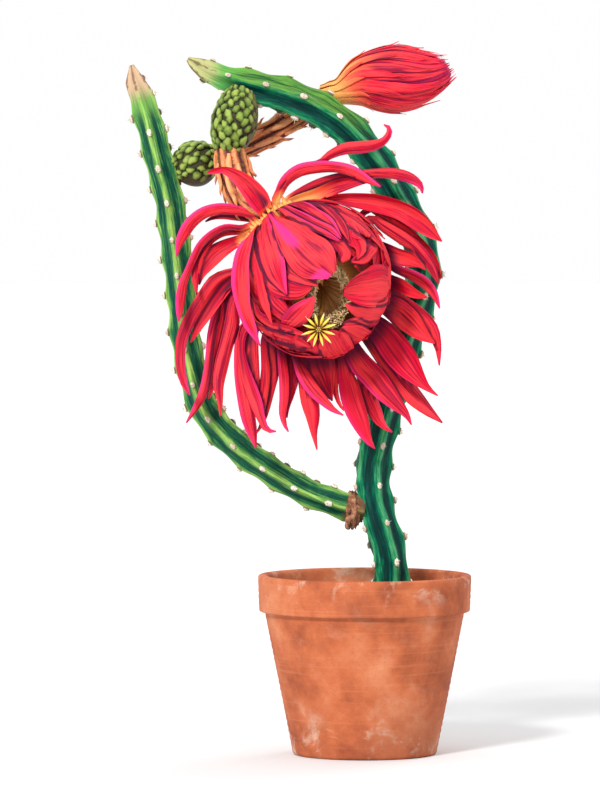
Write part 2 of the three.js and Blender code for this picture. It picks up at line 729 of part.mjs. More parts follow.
function stigmaSolid() {
  const foot = bloom.centre.clone().addScaledVector(bloom.mouthAxis, -stigma.styleFoot);
  const points = [foot, ...stigma.stylePoints.map((p) => new THREE.Vector3(...p)), stigma.centre];
  const { list } = stations(points, 7, new THREE.Vector3(1, 0, 0));
  const style = skin(list.map((station) => {
    const ring = [];
    for (let j = 0; j < stigma.styleSides; j += 1) {
      const angle = (j * Math.PI * 2) / stigma.styleSides;
      const radius = stigma.styleRadius;
      ring.push(place(station, radius * Math.sin(angle), radius * Math.cos(angle)));
    }
    return ring;
  }));
  const lobes = [];
  for (let i = 0; i < stigma.lobes; i += 1) {
    const angle = ((i + 0.5) * Math.PI * 2) / stigma.lobes;
    const out = new THREE.Vector3(Math.cos(angle), 0, Math.sin(angle));
    const reach = stigma.length * (i % 2 ? 0.9 : 1);
    const step = (away, forwards) => stigma.centre.clone().addScaledVector(out, away)
      .addScaledVector(front, forwards);
    lobes.push(blade({
      path: [step(stigma.hub * 0.82, 0), step(reach * 0.55, 1.2), step(reach, 2.4)],
      right: out.clone().cross(front),
      width: stigma.width,
      steps: 2,
      outline: (share) => 1 - 0.9 * Math.abs(share - 0.5),
    }));
  }
  const hub = new THREE.CylinderGeometry(stigma.hub, stigma.hub, stigma.hubHeight, stigma.lobes);
  hub.translate(...stigma.centre);
  return fused([style, solidOf(hub), ...lobes]);
}

// Bud: a slim core with long petals wound over it, whose points stand out at the tip
const bud = {
  points: [[-25, 23, 433.5], [-16, 22, 435], [0, 20, 441], [20, 18, 443], [35, 17, 444.5], [50, 16, 448.5],
    [58, 15, 452]],
  radii: [6, 7.5, 17, 22, 19.5, 12, 4],
  coreDepth: 1.2, // how far the core stays under the petals
  steps: 10,
  sides: 12,
  petals: 10,
  petalWidth: 9.4,
  petalTwist: 0.9,
  shortest: 0.8,
};

function budSolid() {
  const points = bud.points.map((p) => new THREE.Vector3(...p));
  const { list } = stations(points, bud.steps, new THREE.Vector3(0, 1, 0));
  const core = skin(list.map((station) => {
    const ring = [];
    for (let j = 0; j < bud.sides; j += 1) {
      const angle = (j * Math.PI * 2) / bud.sides;
      const radius = radiusAlong(bud.radii, station.share) - bud.coreDepth;
      ring.push(place(station, radius * Math.sin(angle), radius * Math.cos(angle)));
    }
    return ring;
  }));
  const petals = [];
  for (let i = 0; i < bud.petals; i += 1) {
    const first = i * goldenTurn;
    const start = (i % 3) * 0.05;
    const end = THREE.MathUtils.lerp(bud.shortest, 1, ((i * 7) % 5) / 4);
    const path = [0, 0.25, 0.5, 0.75, 1].map((t) => {
      const step = Math.round(THREE.MathUtils.lerp(start, end, t) * bud.steps);
      const lift = t === 0 ? -2 : 0.4 + (i % 3) * 0.4;
      const radius = radiusAlong(bud.radii, step / bud.steps) + lift;
      const angle = first + bud.petalTwist * t;
      return place(list[step], radius * Math.sin(angle), radius * Math.cos(angle));
    });
    const forward = path[1].clone().sub(path[0]).normalize();
    petals.push(blade({
      path,
      right: forward.cross(path[1].clone().sub(list[3].point)).normalize(),
      width: bud.petalWidth,
      steps: 4,
      roll: 0.1,
    }));
  }
  return fused([core, ...petals]);
}

// Assembly

function allBut(count, skipped) {
  return Array.from({ length: count }, (_, i) => i).filter((i) => !skipped.includes(i));
}

const mainGrown = stemSolid(mainStem, mainStemRows, gap);
const sideGrown = stemSolid(sideStem, sideStemRows, gap);
const main = stemSolid(mainStem, mainStemRows);
const side = clearedOf(fused([stemSolid(sideStem, sideStemRows), heelSolid()]), [mainGrown]);
const bloomOvaryBody = clearedOf(ovarySolid(bloomOvary), [mainGrown]);
const bloomTubeBody = clearedOf(tubeSolid(bloomTube), [ovarySolid(bloomOvary, gap), mainGrown]);
const budOvaryBody = clearedOf(ovarySolid(budOvary), [sideGrown]);
const budTubeBody = clearedOf(tubeSolid(budTube), [ovarySolid(budOvary, gap), mainGrown]);
const petalsBody = clearedOf(fused([
  cupSolid(),
  ...tepals.map(tepalSolid),
  ...allBut(sepals.count, sepals.skipped).map(sepalSolid),
  ...overPetals.map(overPetalSolid),
  ...allBut(bloom.innerPetals, bloom.coveredPetals).map(innerPetalSolid),
]), [tubeSolid(bloomTube, gap), mainGrown, sideGrown]);
const budBody = clearedOf(budSolid(), [tubeSolid(budTube, gap), mainGrown]);

const finishes = {
  clay: new THREE.MeshStandardMaterial({ color: 0xb9653f, roughness: 0.85, metalness: 0 }),
  earth: new THREE.MeshStandardMaterial({ color: 0x3a2a1e, roughness: 1, metalness: 0 }),
  darkStem: new THREE.MeshStandardMaterial({ color: 0x0a5a48, roughness: 0.5, metalness: 0 }),
  paleStem: new THREE.MeshStandardMaterial({ color: 0x5f9a48, roughness: 0.5, metalness: 0 }),
  ovary: new THREE.MeshStandardMaterial({ color: 0x8fae2c, roughness: 0.55, metalness: 0 }),
  tube: new THREE.MeshStandardMaterial({ color: 0xd08c54, roughness: 0.7, metalness: 0 }),
  petal: new THREE.MeshStandardMaterial({ color: 0xe52a40, roughness: 0.5, metalness: 0 }),
  stamen: new THREE.MeshStandardMaterial({ color: 0xb59762, roughness: 0.8, metalness: 0 }),
  stigma: new THREE.MeshStandardMaterial({ color: 0xf0d23c, roughness: 0.6, metalness: 0 }),
};

const pieces = [
  ['pot', potSolid(), finishes.clay],
  ['soil', clearedOf(soilSolid(), [mainGrown]), finishes.earth],
  ['main_stem', main, finishes.darkStem],
  ['side_stem', side, finishes.paleStem],
  ['bloom_ovary', bloomOvaryBody, finishes.ovary],
  ['bloom_tube', bloomTubeBody, finishes.tube],
  ['bloom_petals', petalsBody, finishes.petal],
  ['bloom_stamens', stamenSolid(), finishes.stamen],
  ['bloom_stigma', stigmaSolid(), finishes.stigma],
  ['bud_ovary', budOvaryBody, finishes.ovary],
  ['bud_tube', budTubeBody, finishes.tube],
  ['bud_petals', budBody, finishes.petal],
];

const plant = new THREE.Group();
for (const [name, solid, material] of pieces) {
  const mesh = new THREE.Mesh(geometryOf(solid), material);
  mesh.name = name;
  plant.add(mesh);
}

export default plant;
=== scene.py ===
# Potted night-blooming cactus: two ribbed stems, one open red bloom and one bud in a clay pot.
# Tables are in millimetres in the model's own frame, +Z up and seen from the front along +Y,
# apart from the petals of the bloom, which say otherwise.
import math
import random

import bpy
import numpy as np
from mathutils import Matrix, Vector, noise


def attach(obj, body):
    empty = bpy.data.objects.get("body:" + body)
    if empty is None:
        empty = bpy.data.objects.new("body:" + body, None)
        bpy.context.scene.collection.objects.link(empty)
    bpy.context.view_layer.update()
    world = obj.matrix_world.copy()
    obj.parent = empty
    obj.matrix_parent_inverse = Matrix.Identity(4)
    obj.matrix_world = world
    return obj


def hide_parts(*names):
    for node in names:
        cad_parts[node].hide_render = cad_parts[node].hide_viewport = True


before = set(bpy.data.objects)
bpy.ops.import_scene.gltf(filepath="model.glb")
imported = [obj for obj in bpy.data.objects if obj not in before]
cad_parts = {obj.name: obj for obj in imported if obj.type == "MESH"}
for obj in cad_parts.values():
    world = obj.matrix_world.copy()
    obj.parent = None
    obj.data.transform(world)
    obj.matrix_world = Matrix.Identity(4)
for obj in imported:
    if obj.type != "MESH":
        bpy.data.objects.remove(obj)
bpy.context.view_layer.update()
scene = bpy.context.scene
dice = random.Random(11)
front = np.array([0.0, -1.0, 0.0])
back = -front


# Small helpers

def unit(vectors):
    return vectors / np.maximum(np.linalg.norm(vectors, axis=-1, keepdims=True), 1e-9)


def mix(a, b, share):
    return a + (b - a) * share


def ease(low, high, value):
    share = np.clip((value - low) / (high - low), 0, 1)
    return share * share * (3 - 2 * share)


def turnBetween(a, b, share):
    # the direction that lies this share of the way round from a to b
    angle = math.acos(max(-1, min(1, float(np.dot(a, b)))))
    if angle < 1e-4:
        return a
    return (math.sin((1 - share) * angle) * a + math.sin(share * angle) * b) / math.sin(angle)


def smoothCurve(rows, count):
    # centripetal Catmull-Rom through the rows, sampled evenly; columns after x, y, z come along
    rows = np.asarray(rows, float)
    padded = np.vstack([2 * rows[0] - rows[1], rows, 2 * rows[-1] - rows[-2]])
    gaps = np.linalg.norm(np.diff(padded[:, :3], axis=0), axis=1)
    knots = np.concatenate([[0], np.cumsum(np.sqrt(np.maximum(gaps, 1e-6)))])
    dense = []
    for i in range(1, len(padded) - 2):
        t0, t1, t2, t3 = knots[i - 1:i + 3]
        p0, p1, p2, p3 = padded[i - 1:i + 3]
        t = np.linspace(t1, t2, 14, endpoint=False)[:, None]
        a1 = mix(p0, p1, (t - t0) / (t1 - t0))
        a2 = mix(p1, p2, (t - t1) / (t2 - t1))
        a3 = mix(p2, p3, (t - t2) / (t3 - t2))
        b1 = mix(a1, a2, (t - t0) / (t2 - t0))
        b2 = mix(a2, a3, (t - t1) / (t3 - t1))
        dense.append(mix(b1, b2, (t - t1) / (t2 - t1)))
    dense = np.vstack(dense + [rows[-1:]])
    run = np.concatenate([[0], np.cumsum(np.linalg.norm(np.diff(dense[:, :3], axis=0), axis=1))])
    steps = np.linspace(0, run[-1], count)
    even = np.column_stack([np.interp(steps, run, column) for column in dense.T])
    return even, run[-1]


def carriedFrame(points, firstRight):
    # forward, right and up at each point, where right turns as little as it can
    forward = unit(np.gradient(points, axis=0))
    right, rights = np.asarray(firstRight, float), []
    for ahead in forward:
        right = unit(right - ahead * np.dot(right, ahead))
        rights.append(right)
    rights = np.array(rights)
    return forward, rights, np.cross(rights, forward)


def hintedFrame(points, hints):
    # forward, side and outward at each point, where outward is as near to the hints as it can be
    forward = unit(np.gradient(points, axis=0))
    outward = unit(hints - forward * np.sum(hints * forward, axis=1, keepdims=True))
    return forward, np.cross(forward, outward), outward


def ringsAround(points, right, up, radii, angles):
    # rings of points about a centre line; radii has a row for each ring or one value for each
    radii = np.broadcast_to(np.asarray(radii, float), (len(points), len(angles)))
    sideways = right[:, None, :] * np.sin(angles)[None, :, None]
    upwards = up[:, None, :] * np.cos(angles)[None, :, None]
    return points[:, None, :] + (sideways + upwards) * radii[:, :, None]


def fullTurn(count):
    return np.arange(count) * math.tau / count


def roundedRings(tilts, count, place):
    # rings of a rounded form, one for each tilt, with a point wherever place(tilt, angle) says
    return np.array([[place(tilt, a) for a in fullTurn(count)] for tilt in tilts])


def turned(a, b, angle):
    return a * math.cos(angle) - b * math.sin(angle), a * math.sin(angle) + b * math.cos(angle)


def petalLine(path, hints, count, *columns):
    # an even line through the path: its points, hints, length, shares of the way and further columns
    rows = [(*point, *hint, *more) for point, hint, *more in zip(path, hints, *columns)]
    line, length = smoothCurve(rows, count)
    return line[:, :3], unit(line[:, 3:6]), length, np.linspace(0, 1, count), *line[:, 6:].T


def grain(x, y, z=0.0):
    return noise.noise(Vector((float(x), float(y), float(z))))


# Many closed skins gathered into one piece

class Gathering:
    # at each point, place is (across, along, own number) and paint is three amounts for the finish
    def __init__(self):
        self.points, self.faces, self.place, self.paint = [], [], [], []
        self.total = 0

    def skin(self, rings, across=0.5, along=0.5, own=0.0, paint=(0, 0, 0)):
        rows, count = rings.shape[:2]
        points = np.vstack([rings.reshape(-1, 3), rings[0].mean(axis=0), rings[-1].mean(axis=0)])
        row, column = np.meshgrid(np.arange(rows - 1), np.arange(count), indexing="ij")
        a = (row * count + column).ravel()
        b = (row * count + (column + 1) % count).ravel()
        quads = np.stack([a, b, b + count, a + count], axis=1)
        ends = np.arange(count)
        nextEnds = (ends + 1) % count
        last = (rows - 1) * count
        first = np.stack([np.full(count, rows * count), nextEnds, ends], axis=1)
        final = np.stack([np.full(count, rows * count + 1), last + ends, last + nextEnds], axis=1)
        centred = points - points.mean(axis=0)
        corners = centred[quads]
        volume = np.sum(corners[:, 0] * np.cross(corners[:, 1], corners[:, 2]))
        volume += np.sum(corners[:, 0] * np.cross(corners[:, 2], corners[:, 3]))
        for fan in (first, final):
            corners = centred[fan]
            volume += np.sum(corners[:, 0] * np.cross(corners[:, 1], corners[:, 2]))
        for faces in (quads, first, final):
            turned = faces[:, ::-1] if volume < 0 else faces
            self.faces += (turned + self.total).tolist()
        grid = (rows, count)

        def spread(values):
            return np.stack([np.broadcast_to(np.asarray(v, float), grid) for v in values], axis=-1)

        for kept, values in ((self.place, spread((across, along, own))), (self.paint, spread(paint))):
            kept.append(np.vstack([values.reshape(-1, 3), values[0].mean(axis=0), values[-1].mean(axis=0)]))
        self.points.append(points)
        self.total += len(points)

    def piece(self, name, finish, slot, *nodes):
        mesh = bpy.data.meshes.new(name)
        mesh.from_pydata((np.vstack(self.points) * 0.001).tolist(), [], self.faces)
        for key, values in (("place", self.place), ("paint", self.paint)):
            layer = mesh.attributes.new(key, "FLOAT_VECTOR", "POINT")
            layer.data.foreach_set("vector", np.vstack(values).ravel())
        mesh.polygons.foreach_set("use_smooth", [True] * len(mesh.polygons))
        mesh.materials.append(finish)
        mesh.validate()
        return adopt(bpy.data.objects.new(name, mesh), slot, *nodes)


def adopt(piece, slot, *nodes):
    if piece.name not in scene.collection.objects:
        scene.collection.objects.link(piece)
    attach(piece, "root")
    if nodes:
        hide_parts(*nodes)
    print(piece.name, len(piece.data.polygons), "faces")
    return piece


# A blade: a thin lens-shaped skin along a centre line

blade = {
    "creaseWidth": 0.16, "pleats": 11, "pleatDrift": 1.5, "waveLean": 1.9, "draw": 0.25,
    "edge": 0.94, "thinUnder": 1.2, "narrowest": 0.12,
}


def bladeRings(points, hints, half, columns=9, cup=0.0, ripple=0.0, waves=3.0, roll=0.0, thick=0.6,
               turn=0.0, crease=0.0, pleat=0.0):
    _, side, outward = hintedFrame(points, hints)
    steps = np.linspace(0, 1, len(points))
    roll = np.broadcast_to(np.asarray(roll, float), steps.shape)[:, None]
    rolledSide = side * np.cos(roll) + outward * np.sin(roll)
    rolledOut = outward * np.cos(roll) - side * np.sin(roll)
    c = np.sin(np.linspace(-1, 1, columns) * math.pi / 2)[None, :]
    half = np.maximum(half, blade["narrowest"])[:, None]
    cup = np.broadcast_to(np.asarray(cup, float), steps.shape)[:, None]
    ripple = np.broadcast_to(np.asarray(ripple, float), steps.shape)[:, None]
    drift = turn + blade["pleatDrift"] * steps[:, None]
    swing = waves * math.tau * steps[:, None] + blade["waveLean"] * c + turn
    height = cup * half * c * c + crease * half * np.exp(-(c / blade["creaseWidth"]) ** 2)
    height = height + pleat * half * np.sin(blade["pleats"] * c + drift) * (1 - c ** 4)
    height = height + ripple * np.abs(c) ** 2 * np.sin(swing)
    width = half * c * (1 - blade["draw"] * np.abs(cup) * c * c)
    body = thick / 2 * np.sqrt(np.clip(1 - blade["edge"] * c ** 4, 0, 1))
    body = body * np.minimum(1, half / blade["thinUnder"])
    place = lambda lift: (points[:, None, :] + rolledSide[:, None, :] * width[:, :, None]
                          + rolledOut[:, None, :] * lift[:, :, None])
    upper, lower = place(height + body), place(height - body)
    rings = np.concatenate([upper, lower[:, ::-1]], axis=1)
    across = np.broadcast_to((c + 1) / 2, (len(points), columns))
    across = np.concatenate([across, across[:, ::-1]], axis=1)
    along = np.broadcast_to(steps[:, None], across.shape)
    return rings, across, along


# Shader maths in plain expressions: a Wire is one output socket of a finish's nodes

class Wire:
    def __init__(self, finish, socket):
        self.finish, self.socket = finish, socket

    def join(self, operation, other, flipped=False):
        first, second = (other, self) if flipped else (self, other)
        return self.finish.node("ShaderNodeMath", {"operation": operation}, {0: first, 1: second})

    def __add__(self, other):
        return self.join("ADD", other)

    def __radd__(self, other):
        return self.join("ADD", other, True)

    def __sub__(self, other):
        return self.join("SUBTRACT", other)

    def __rsub__(self, other):
        return self.join("SUBTRACT", other, True)

    def __mul__(self, other):
        return self.join("MULTIPLY", other)

    def __rmul__(self, other):
        return self.join("MULTIPLY", other, True)

    def __abs__(self):
        return self.join("ABSOLUTE", 0.0)

    def between(self, low, high):
        # 0 at low and 1 at high, smooth in between
        values = {"Value": self, "From Min": low, "From Max": high}
        return self.finish.node("ShaderNodeMapRange", {"interpolation_type": "SMOOTHSTEP"}, values)


class Finish:
    def __init__(self, name, constants=None):
        self.material = bpy.data.materials.new(name)
        self.material.use_nodes = True
        self.nodes, self.links = self.material.node_tree.nodes, self.material.node_tree.links
        self.shader = self.nodes["Principled BSDF"]
        for key, value in (constants or {}).items():
            self.shader.inputs[key].default_value = value

    def feed(self, socket, value):
        if isinstance(value, Wire):
            self.links.new(value.socket, socket)
        elif socket.type == "RGBA" and len(value) == 3:
            socket.default_value = (*value, 1)
        else:
            socket.default_value = value

    def node(self, kind, settings=None, values=None, output=0):
        made = self.nodes.new(kind)
        for key, value in (settings or {}).items():
            if key == "stops":
                stops = made.color_ramp.elements
                stops.remove(stops[-1])
                stops[0].position, stops[0].color = value[0][0], (*value[0][1], 1)
                for position, colour in value[1:]:
                    stops.new(position).color = (*colour, 1)
            else:
                setattr(made, key, value)
        for key, value in (values or {}).items():
            self.feed(made.inputs[key], value)
        return Wire(self, made.outputs[output])

    def outputs(self, wire):
        return [Wire(self, socket) for socket in wire.socket.node.outputs]

    def read(self, attribute):
        vector = self.node("ShaderNodeAttribute", {"attribute_name": attribute}, output=1)
        return self.outputs(self.node("ShaderNodeSeparateXYZ", values={0: vector}))

    def where(self):
        return self.node("ShaderNodeTexCoord", output=3)

    def vector(self, x, y, z):
        return self.node("ShaderNodeCombineXYZ", values={0: x, 1: y, 2: z})

    def cloud(self, place, scale, detail=3.0, roughness=0.55, distortion=0.0):
        values = {"Vector": place, "Scale": scale, "Detail": detail, "Roughness": roughness,
                  "Distortion": distortion}
        return self.node("ShaderNodeTexNoise", values=values)

    def cells(self, place, scale):
        return self.node("ShaderNodeTexVoronoi", values={"Vector": place, "Scale": scale})

    def blend(self, a, b, share):
        return self.node("ShaderNodeMix", {"data_type": "RGBA"}, {0: share, 6: a, 7: b}, output=2)

    def ramp(self, value, stops):
        return self.node("ShaderNodeValToRGB", {"stops": stops}, {0: value})

    def relief(self, height, strength, distance):
        values = {"Strength": strength, "Distance": distance, "Height": height}
        self.feed(self.shader.inputs["Normal"], self.node("ShaderNodeBump", values=values))

    def colour(self, value):
        self.feed(self.shader.inputs["Base Color"], value)

    def rough(self, value):
        self.feed(self.shader.inputs["Roughness"], value)


def rgb(red, green, blue):
    return tuple((((v / 255) + 0.055) / 1.055) ** 2.4 for v in (red, green, blue))


# Camera: straight on, from far away, a little above

view = {"aim": (-0.0425, -0.02, 0.2335), "distance": 4.2, "rise": 2.5, "height": 0.522}
rise = math.radians(view["rise"])
cameraData = bpy.data.cameras.new("camera")
cameraData.sensor_width = 36
cameraData.lens = 18 / (view["height"] / 2 / view["distance"])
camera = bpy.data.objects.new("camera", cameraData)
aim = Vector(view["aim"])
backwards = Vector((0, -math.cos(rise), math.sin(rise)))
camera.location = aim + backwards * view["distance"]
camera.rotation_euler = (-backwards).to_track_quat("-Z", "Y").to_euler()
cameraData.clip_start, cameraData.clip_end = 0.05, 60
scene.collection.objects.link(camera)
scene.camera = camera


# Pot

potShape = {
    "height": 118, "rim": 70, "band": 24, "bodyTop": 65.5, "foot": 47, "wall": 5, "floor": 6,
    "drain": 4, "drainRing": 28, "drainHoles": 3, "hub": 6, "sides": 144,
    "round": 2.4, "step": 2.2, "ridges": 0.16, "oval": 0.22, "handMarks": 0.1,
}


def potInside(height):
    foot, top = potShape["foot"] - potShape["wall"], potShape["rim"] - potShape["wall"] - 1
    return mix(foot, top, (height - potShape["floor"]) / (potShape["height"] - potShape["floor"]))


def rounded(corners, radius, steps=5):
    # an outline with its inner corners rounded off
    corners = [np.array(c, float) for c in corners]
    outline = [corners[0]]
    for before, corner, after in zip(corners, corners[1:], corners[2:]):
        reach = min(radius, np.linalg.norm(before - corner) * 0.45, np.linalg.norm(after - corner) * 0.45)
        start = corner + unit(before - corner) * reach
        end = corner + unit(after - corner) * reach
        for t in np.linspace(0, 1, steps):
            outline.append(mix(mix(start, corner, t), mix(corner, end, t), t))
    return outline + [corners[-1]]


def fineSteps(outline, longest):
    fine = [outline[0]]
    for before, after in zip(outline, outline[1:]):
        count = max(1, math.ceil(np.linalg.norm(after - before) / longest))
        fine += [mix(before, after, (k + 1) / count) for k in range(count)]
    return np.array(fine)


def latheRings(outline, sides, wobble):
    angles = fullTurn(sides)
    radius = outline[:, :1] + wobble(outline[:, :1], outline[:, 1:], angles[None, :])
    height = np.broadcast_to(outline[:, 1:], radius.shape)
    return np.stack([radius * np.cos(angles), radius * np.sin(angles), height], axis=-1)


def potFinish():
    look = {
        "pale": rgb(205, 130, 92), "clay": rgb(184, 98, 60), "dark": rgb(140, 66, 40),
        "lime": rgb(226, 205, 184), "damp": rgb(112, 58, 40),
    }
    clay = Finish("terracotta", {"Specular IOR Level": 0.3})
    where = clay.where()
    x, y, z = clay.outputs(clay.node("ShaderNodeSeparateXYZ", values={0: where}))
    patches = clay.cloud(where, 26, 5, 0.6)
    throwing = clay.cloud(clay.vector(x * 3, y * 3, z * 160), 4, 3)
    specks = clay.cells(where, 620)
    colour = clay.ramp(patches, [(0.32, look["dark"]), (0.5, look["clay"]), (0.7, look["pale"])])
    colour = clay.blend(colour, look["pale"], throwing.between(0.55, 0.75) * 0.3)
    lime = clay.cloud(where, 48, 6, 0.68, 0.5).between(0.52, 0.68)
    nearFoot = 1 - z.between(0.002, 0.04)
    nearRim = z.between(0.098, 0.117)
    colour = clay.blend(colour, look["lime"], lime * (nearFoot * 0.55 + nearRim * 0.35 + 0.07))
    damp = clay.cloud(where, 18, 3).between(0.4, 0.6) * (1 - z.between(0.0, 0.06))
    colour = clay.blend(colour, look["damp"], damp * 0.4)
    colour = clay.blend(colour, look["dark"], (1 - specks.between(0.08, 0.3)) * 0.35)
    clay.colour(colour)
    clay.rough(0.78 + patches * 0.16)
    pores = clay.cloud(where, 900, 4, 0.7)
    clay.relief(throwing * 0.5 + pores * 0.3 + specks.between(0.0, 0.25) * 0.35, 0.45, 0.0006)
    return clay.material


def makePot():
    s = potShape
    band = s["height"] - s["band"]
    corners = [
        (s["hub"], 0), (s["foot"], 0), (s["bodyTop"], band), (s["rim"] - 0.9, band),
        (s["rim"], s["height"]), (potInside(s["height"]), s["height"]),
        (potInside(s["floor"]), s["floor"]), (s["hub"], s["floor"]),
    ]
    outline = fineSteps(rounded(corners, s["round"]), s["step"])

    def wobble(radius, height, angle):
        # throwing ridges, a rim that is not quite round, and a few broad marks of the hand
        ridges = s["ridges"] * np.sin(height * 1.35 + 0.8 * np.sin(angle)) * ease(20, 45, radius)
        oval = s["oval"] * np.sin(2 * angle + 0.4) * radius / s["rim"]
        return ridges + oval + s["handMarks"] * np.sin(5 * angle + height * 0.05)

    pot = Gathering()
    pot.skin(latheRings(outline, s["sides"], wobble))
    piece = pot.piece("pot", potFinish(), "clay", "pot")
    cutters = []
    for i in range(s["drainHoles"]):
        angle = math.pi / 2 + i * math.tau / s["drainHoles"]
        drill = Gathering()
        centre = np.array([s["drainRing"] * math.cos(angle), s["drainRing"] * math.sin(angle), -4.0])
        column = np.array([centre, centre + (0, 0, s["floor"] + 8)])
        drill.skin(ringsAround(column, np.array([[1.0, 0, 0]] * 2), np.array([[0, 1.0, 0]] * 2),
                               s["drain"], fullTurn(28)))
        mesh = bpy.data.meshes.new("drill")
        mesh.from_pydata((np.vstack(drill.points) * 0.001).tolist(), [], drill.faces)
        cutters.append(bpy.data.objects.new("drill", mesh))
        scene.collection.objects.link(cutters[-1])
        cut = piece.modifiers.new("drain", "BOOLEAN")
        cut.object, cut.operation, cut.solver = cutters[-1], "DIFFERENCE", "EXACT"
    holed = bpy.data.meshes.new_from_object(piece.evaluated_get(bpy.context.evaluated_depsgraph_get()))
    piece.modifiers.clear()
    piece.data = holed
    for cutter in cutters:
        bpy.data.objects.remove(cutter)


makePot()


# Soil

soilShape = {
    "level": 104, "crown": 3, "gap": 0.35, "rings": 56, "sides": 120,
    "crumbs": 340, "smallest": 0.7, "larger": 1.9, "gritEvery": 9,
}
soilLooks = {  # dark, middle and pale tone, then the specks
    "soil": ((rgb(28, 18, 12), rgb(58, 40, 27), rgb(92, 66, 44)), rgb(128, 98, 66)),
    "crumbs": ((rgb(34, 22, 15), rgb(70, 48, 32), rgb(110, 80, 54)), rgb(140, 108, 74)),
    "grit": ((rgb(150, 140, 125), rgb(190, 182, 168), rgb(220, 214, 204)), rgb(236, 232, 224)),
}


def soilHeight(x, y):
    edge = potInside(soilShape["level"])
    share = min(math.hypot(x, y) / edge, 1)
    lumps = 1.5 * grain(x * 0.07, y * 0.07, 3) + 1.0 * grain(x * 0.19, y * 0.19, 7)
    lumps += 0.7 * abs(grain(x * 0.5, y * 0.5, 1)) + 0.3 * grain(x * 1.1, y * 1.1)
    return soilShape["level"] + soilShape["crown"] * (1 - share * share) + lumps * (1 - share ** 8)


def soilFinish(name, tones, speck):
    earth = Finish(name, {"Specular IOR Level": 0.2})
    where = earth.where()
    _, _, own = earth.read("place")
    level = earth.cloud(where, 190, 6, 0.7) * 0.8 + own * 0.2
    colour = earth.ramp(level, list(zip((0.3, 0.5, 0.72), tones)))
    fibres = earth.cloud(where, 900, 3, 0.6).between(0.6, 0.72)
    earth.colour(earth.blend(colour, speck, fibres * 0.5))
    earth.rough(0.88 + 0.1 * own)
    earth.relief(earth.cloud(where, 700, 6, 0.75) + earth.cells(where, 420) * 0.5, 0.8, 0.0009)
    return earth.material


def crumbRings(shape, spin, seed):
    def place(tilt, a):
        p = np.array([math.sin(tilt) * math.cos(a), math.sin(tilt) * math.sin(a), -math.cos(tilt)])
        p = p * shape * (1 + 0.42 * grain(*(p * 1.7 + seed)))
        return *turned(p[0], p[1], spin), p[2]

    return roundedRings(np.linspace(0.22, math.pi - 0.22, 7), 10, place)


def makeSoil():
    s = soilShape
    bottom, edge = potShape["floor"] + s["gap"], potInside(s["level"]) - s["gap"]
    angles = fullTurn(s["sides"])
    circle = np.stack([np.cos(angles), np.sin(angles)], axis=-1)
    rings = [np.column_stack([circle * (potInside(bottom) - s["gap"]), np.full(len(angles), bottom)])]
    for i in range(s["rings"] + 1):
        spot = circle * edge * (1 - i / (s["rings"] + 1))
        rings.append(np.column_stack([spot, [soilHeight(*p) for p in spot]]))
    soil = Gathering()
    soil.skin(np.array(rings), own=0.5)
    soil.piece("soil", soilFinish("pottingSoil", *soilLooks["soil"]), "soil", "soil")
    crumbs, grit = Gathering(), Gathering()
    for k in range(s["crumbs"]):
        away, angle = (edge - 3) * math.sqrt(dice.random()), dice.random() * math.tau
        x, y = away * math.cos(angle), away * math.sin(angle)
        size = s["smallest"] + s["larger"] * dice.random() ** 2.2
        pale = k % s["gritEvery"] == 0
        shape = np.array([size * dice.uniform(0.8, 1.4), size * dice.uniform(0.8, 1.2), size * 0.75])
        rings = crumbRings(shape, dice.random() * math.tau, k)
        height = soilHeight(x, y) + size * 0.2
        (grit if pale else crumbs).skin(rings + (x, y, height), own=dice.random())
    crumbs.piece("soilCrumbs", soilFinish("soilClods", *soilLooks["crumbs"]), "soil")
    grit.piece("soilGrit", soilFinish("pumiceGrit", *soilLooks["grit"]), "soil")


makeSoil()


# Stems: each row is x, y, z of the centre line and the share of the full radius there

mainStem = {
    "ribs": 5, "radius": 13.2, "valley": 0.66, "spacing": 26, "crenation": 0.07, "turn": 0.35,
    "rows": [
        (17, 0, 75, 0.9), (17, 0, 106, 0.96), (16, 0, 129, 0.98), (10.5, 0, 150, 0.98), (6, 1, 167, 1),
        (5, 2, 187, 1), (9, 3, 211, 1), (16, 4, 237, 1), (26, 5, 273, 1), (34.5, 5, 299, 1),
        (37, 5, 315, 1), (35.5, 5, 334, 1), (28, 5, 352, 1), (19, 4, 368, 1), (5, 3, 390, 1),
        (-16, 2, 413, 1), (-40, 2, 427, 1), (-68, 2, 436, 0.95), (-88, 2, 441.5, 0.78),
        (-102, 2, 447, 0.62), (-111, 2, 452.5, 0.4), (-116, 2, 456, 0.12),
    ],
    "look": {
        "groove": rgb(0, 46, 42), "flank": rgb(0, 74, 62), "light": rgb(2, 116, 74),
        "ridge": rgb(76, 156, 104), "tip": rgb(176, 176, 118), "brown": rgb(92, 62, 44),
        "top": rgb(98, 176, 74), "sunny": (rgb(12, 72, 40), rgb(98, 150, 60)),
    },
}
sideStem = {
    "ribs": 5, "radius": 11.4, "valley": 0.7, "spacing": 24, "crenation": 0.07, "turn": 1.1,
    "rows": [
        (0, -1, 161, 0.92), (-12, -1, 163.5, 0.92), (-37, -1, 172.5, 0.92), (-57.5, 0, 184, 0.94),
        (-74, 1, 195, 0.97), (-88, 2, 207, 1), (-104, 3, 226, 1), (-112.5, 4, 251, 1),
        (-117, 5, 274, 1), (-119, 5, 296, 1), (-121, 6, 316, 1), (-124, 6, 338, 1),
        (-128, 7, 365, 0.97), (-134, 7, 388, 0.95), (-139, 7, 408, 0.92), (-145, 8, 428, 0.84),
        (-150, 8, 442, 0.6), (-153, 8, 452, 0.14),
    ],
    "look": {
        "groove": rgb(6, 62, 52), "flank": rgb(36, 100, 62), "light": rgb(100, 152, 70),
        "ridge": rgb(156, 190, 98), "tip": rgb(196, 164, 132), "brown": rgb(112, 76, 58),
        "top": rgb(130, 186, 84),
    },
}


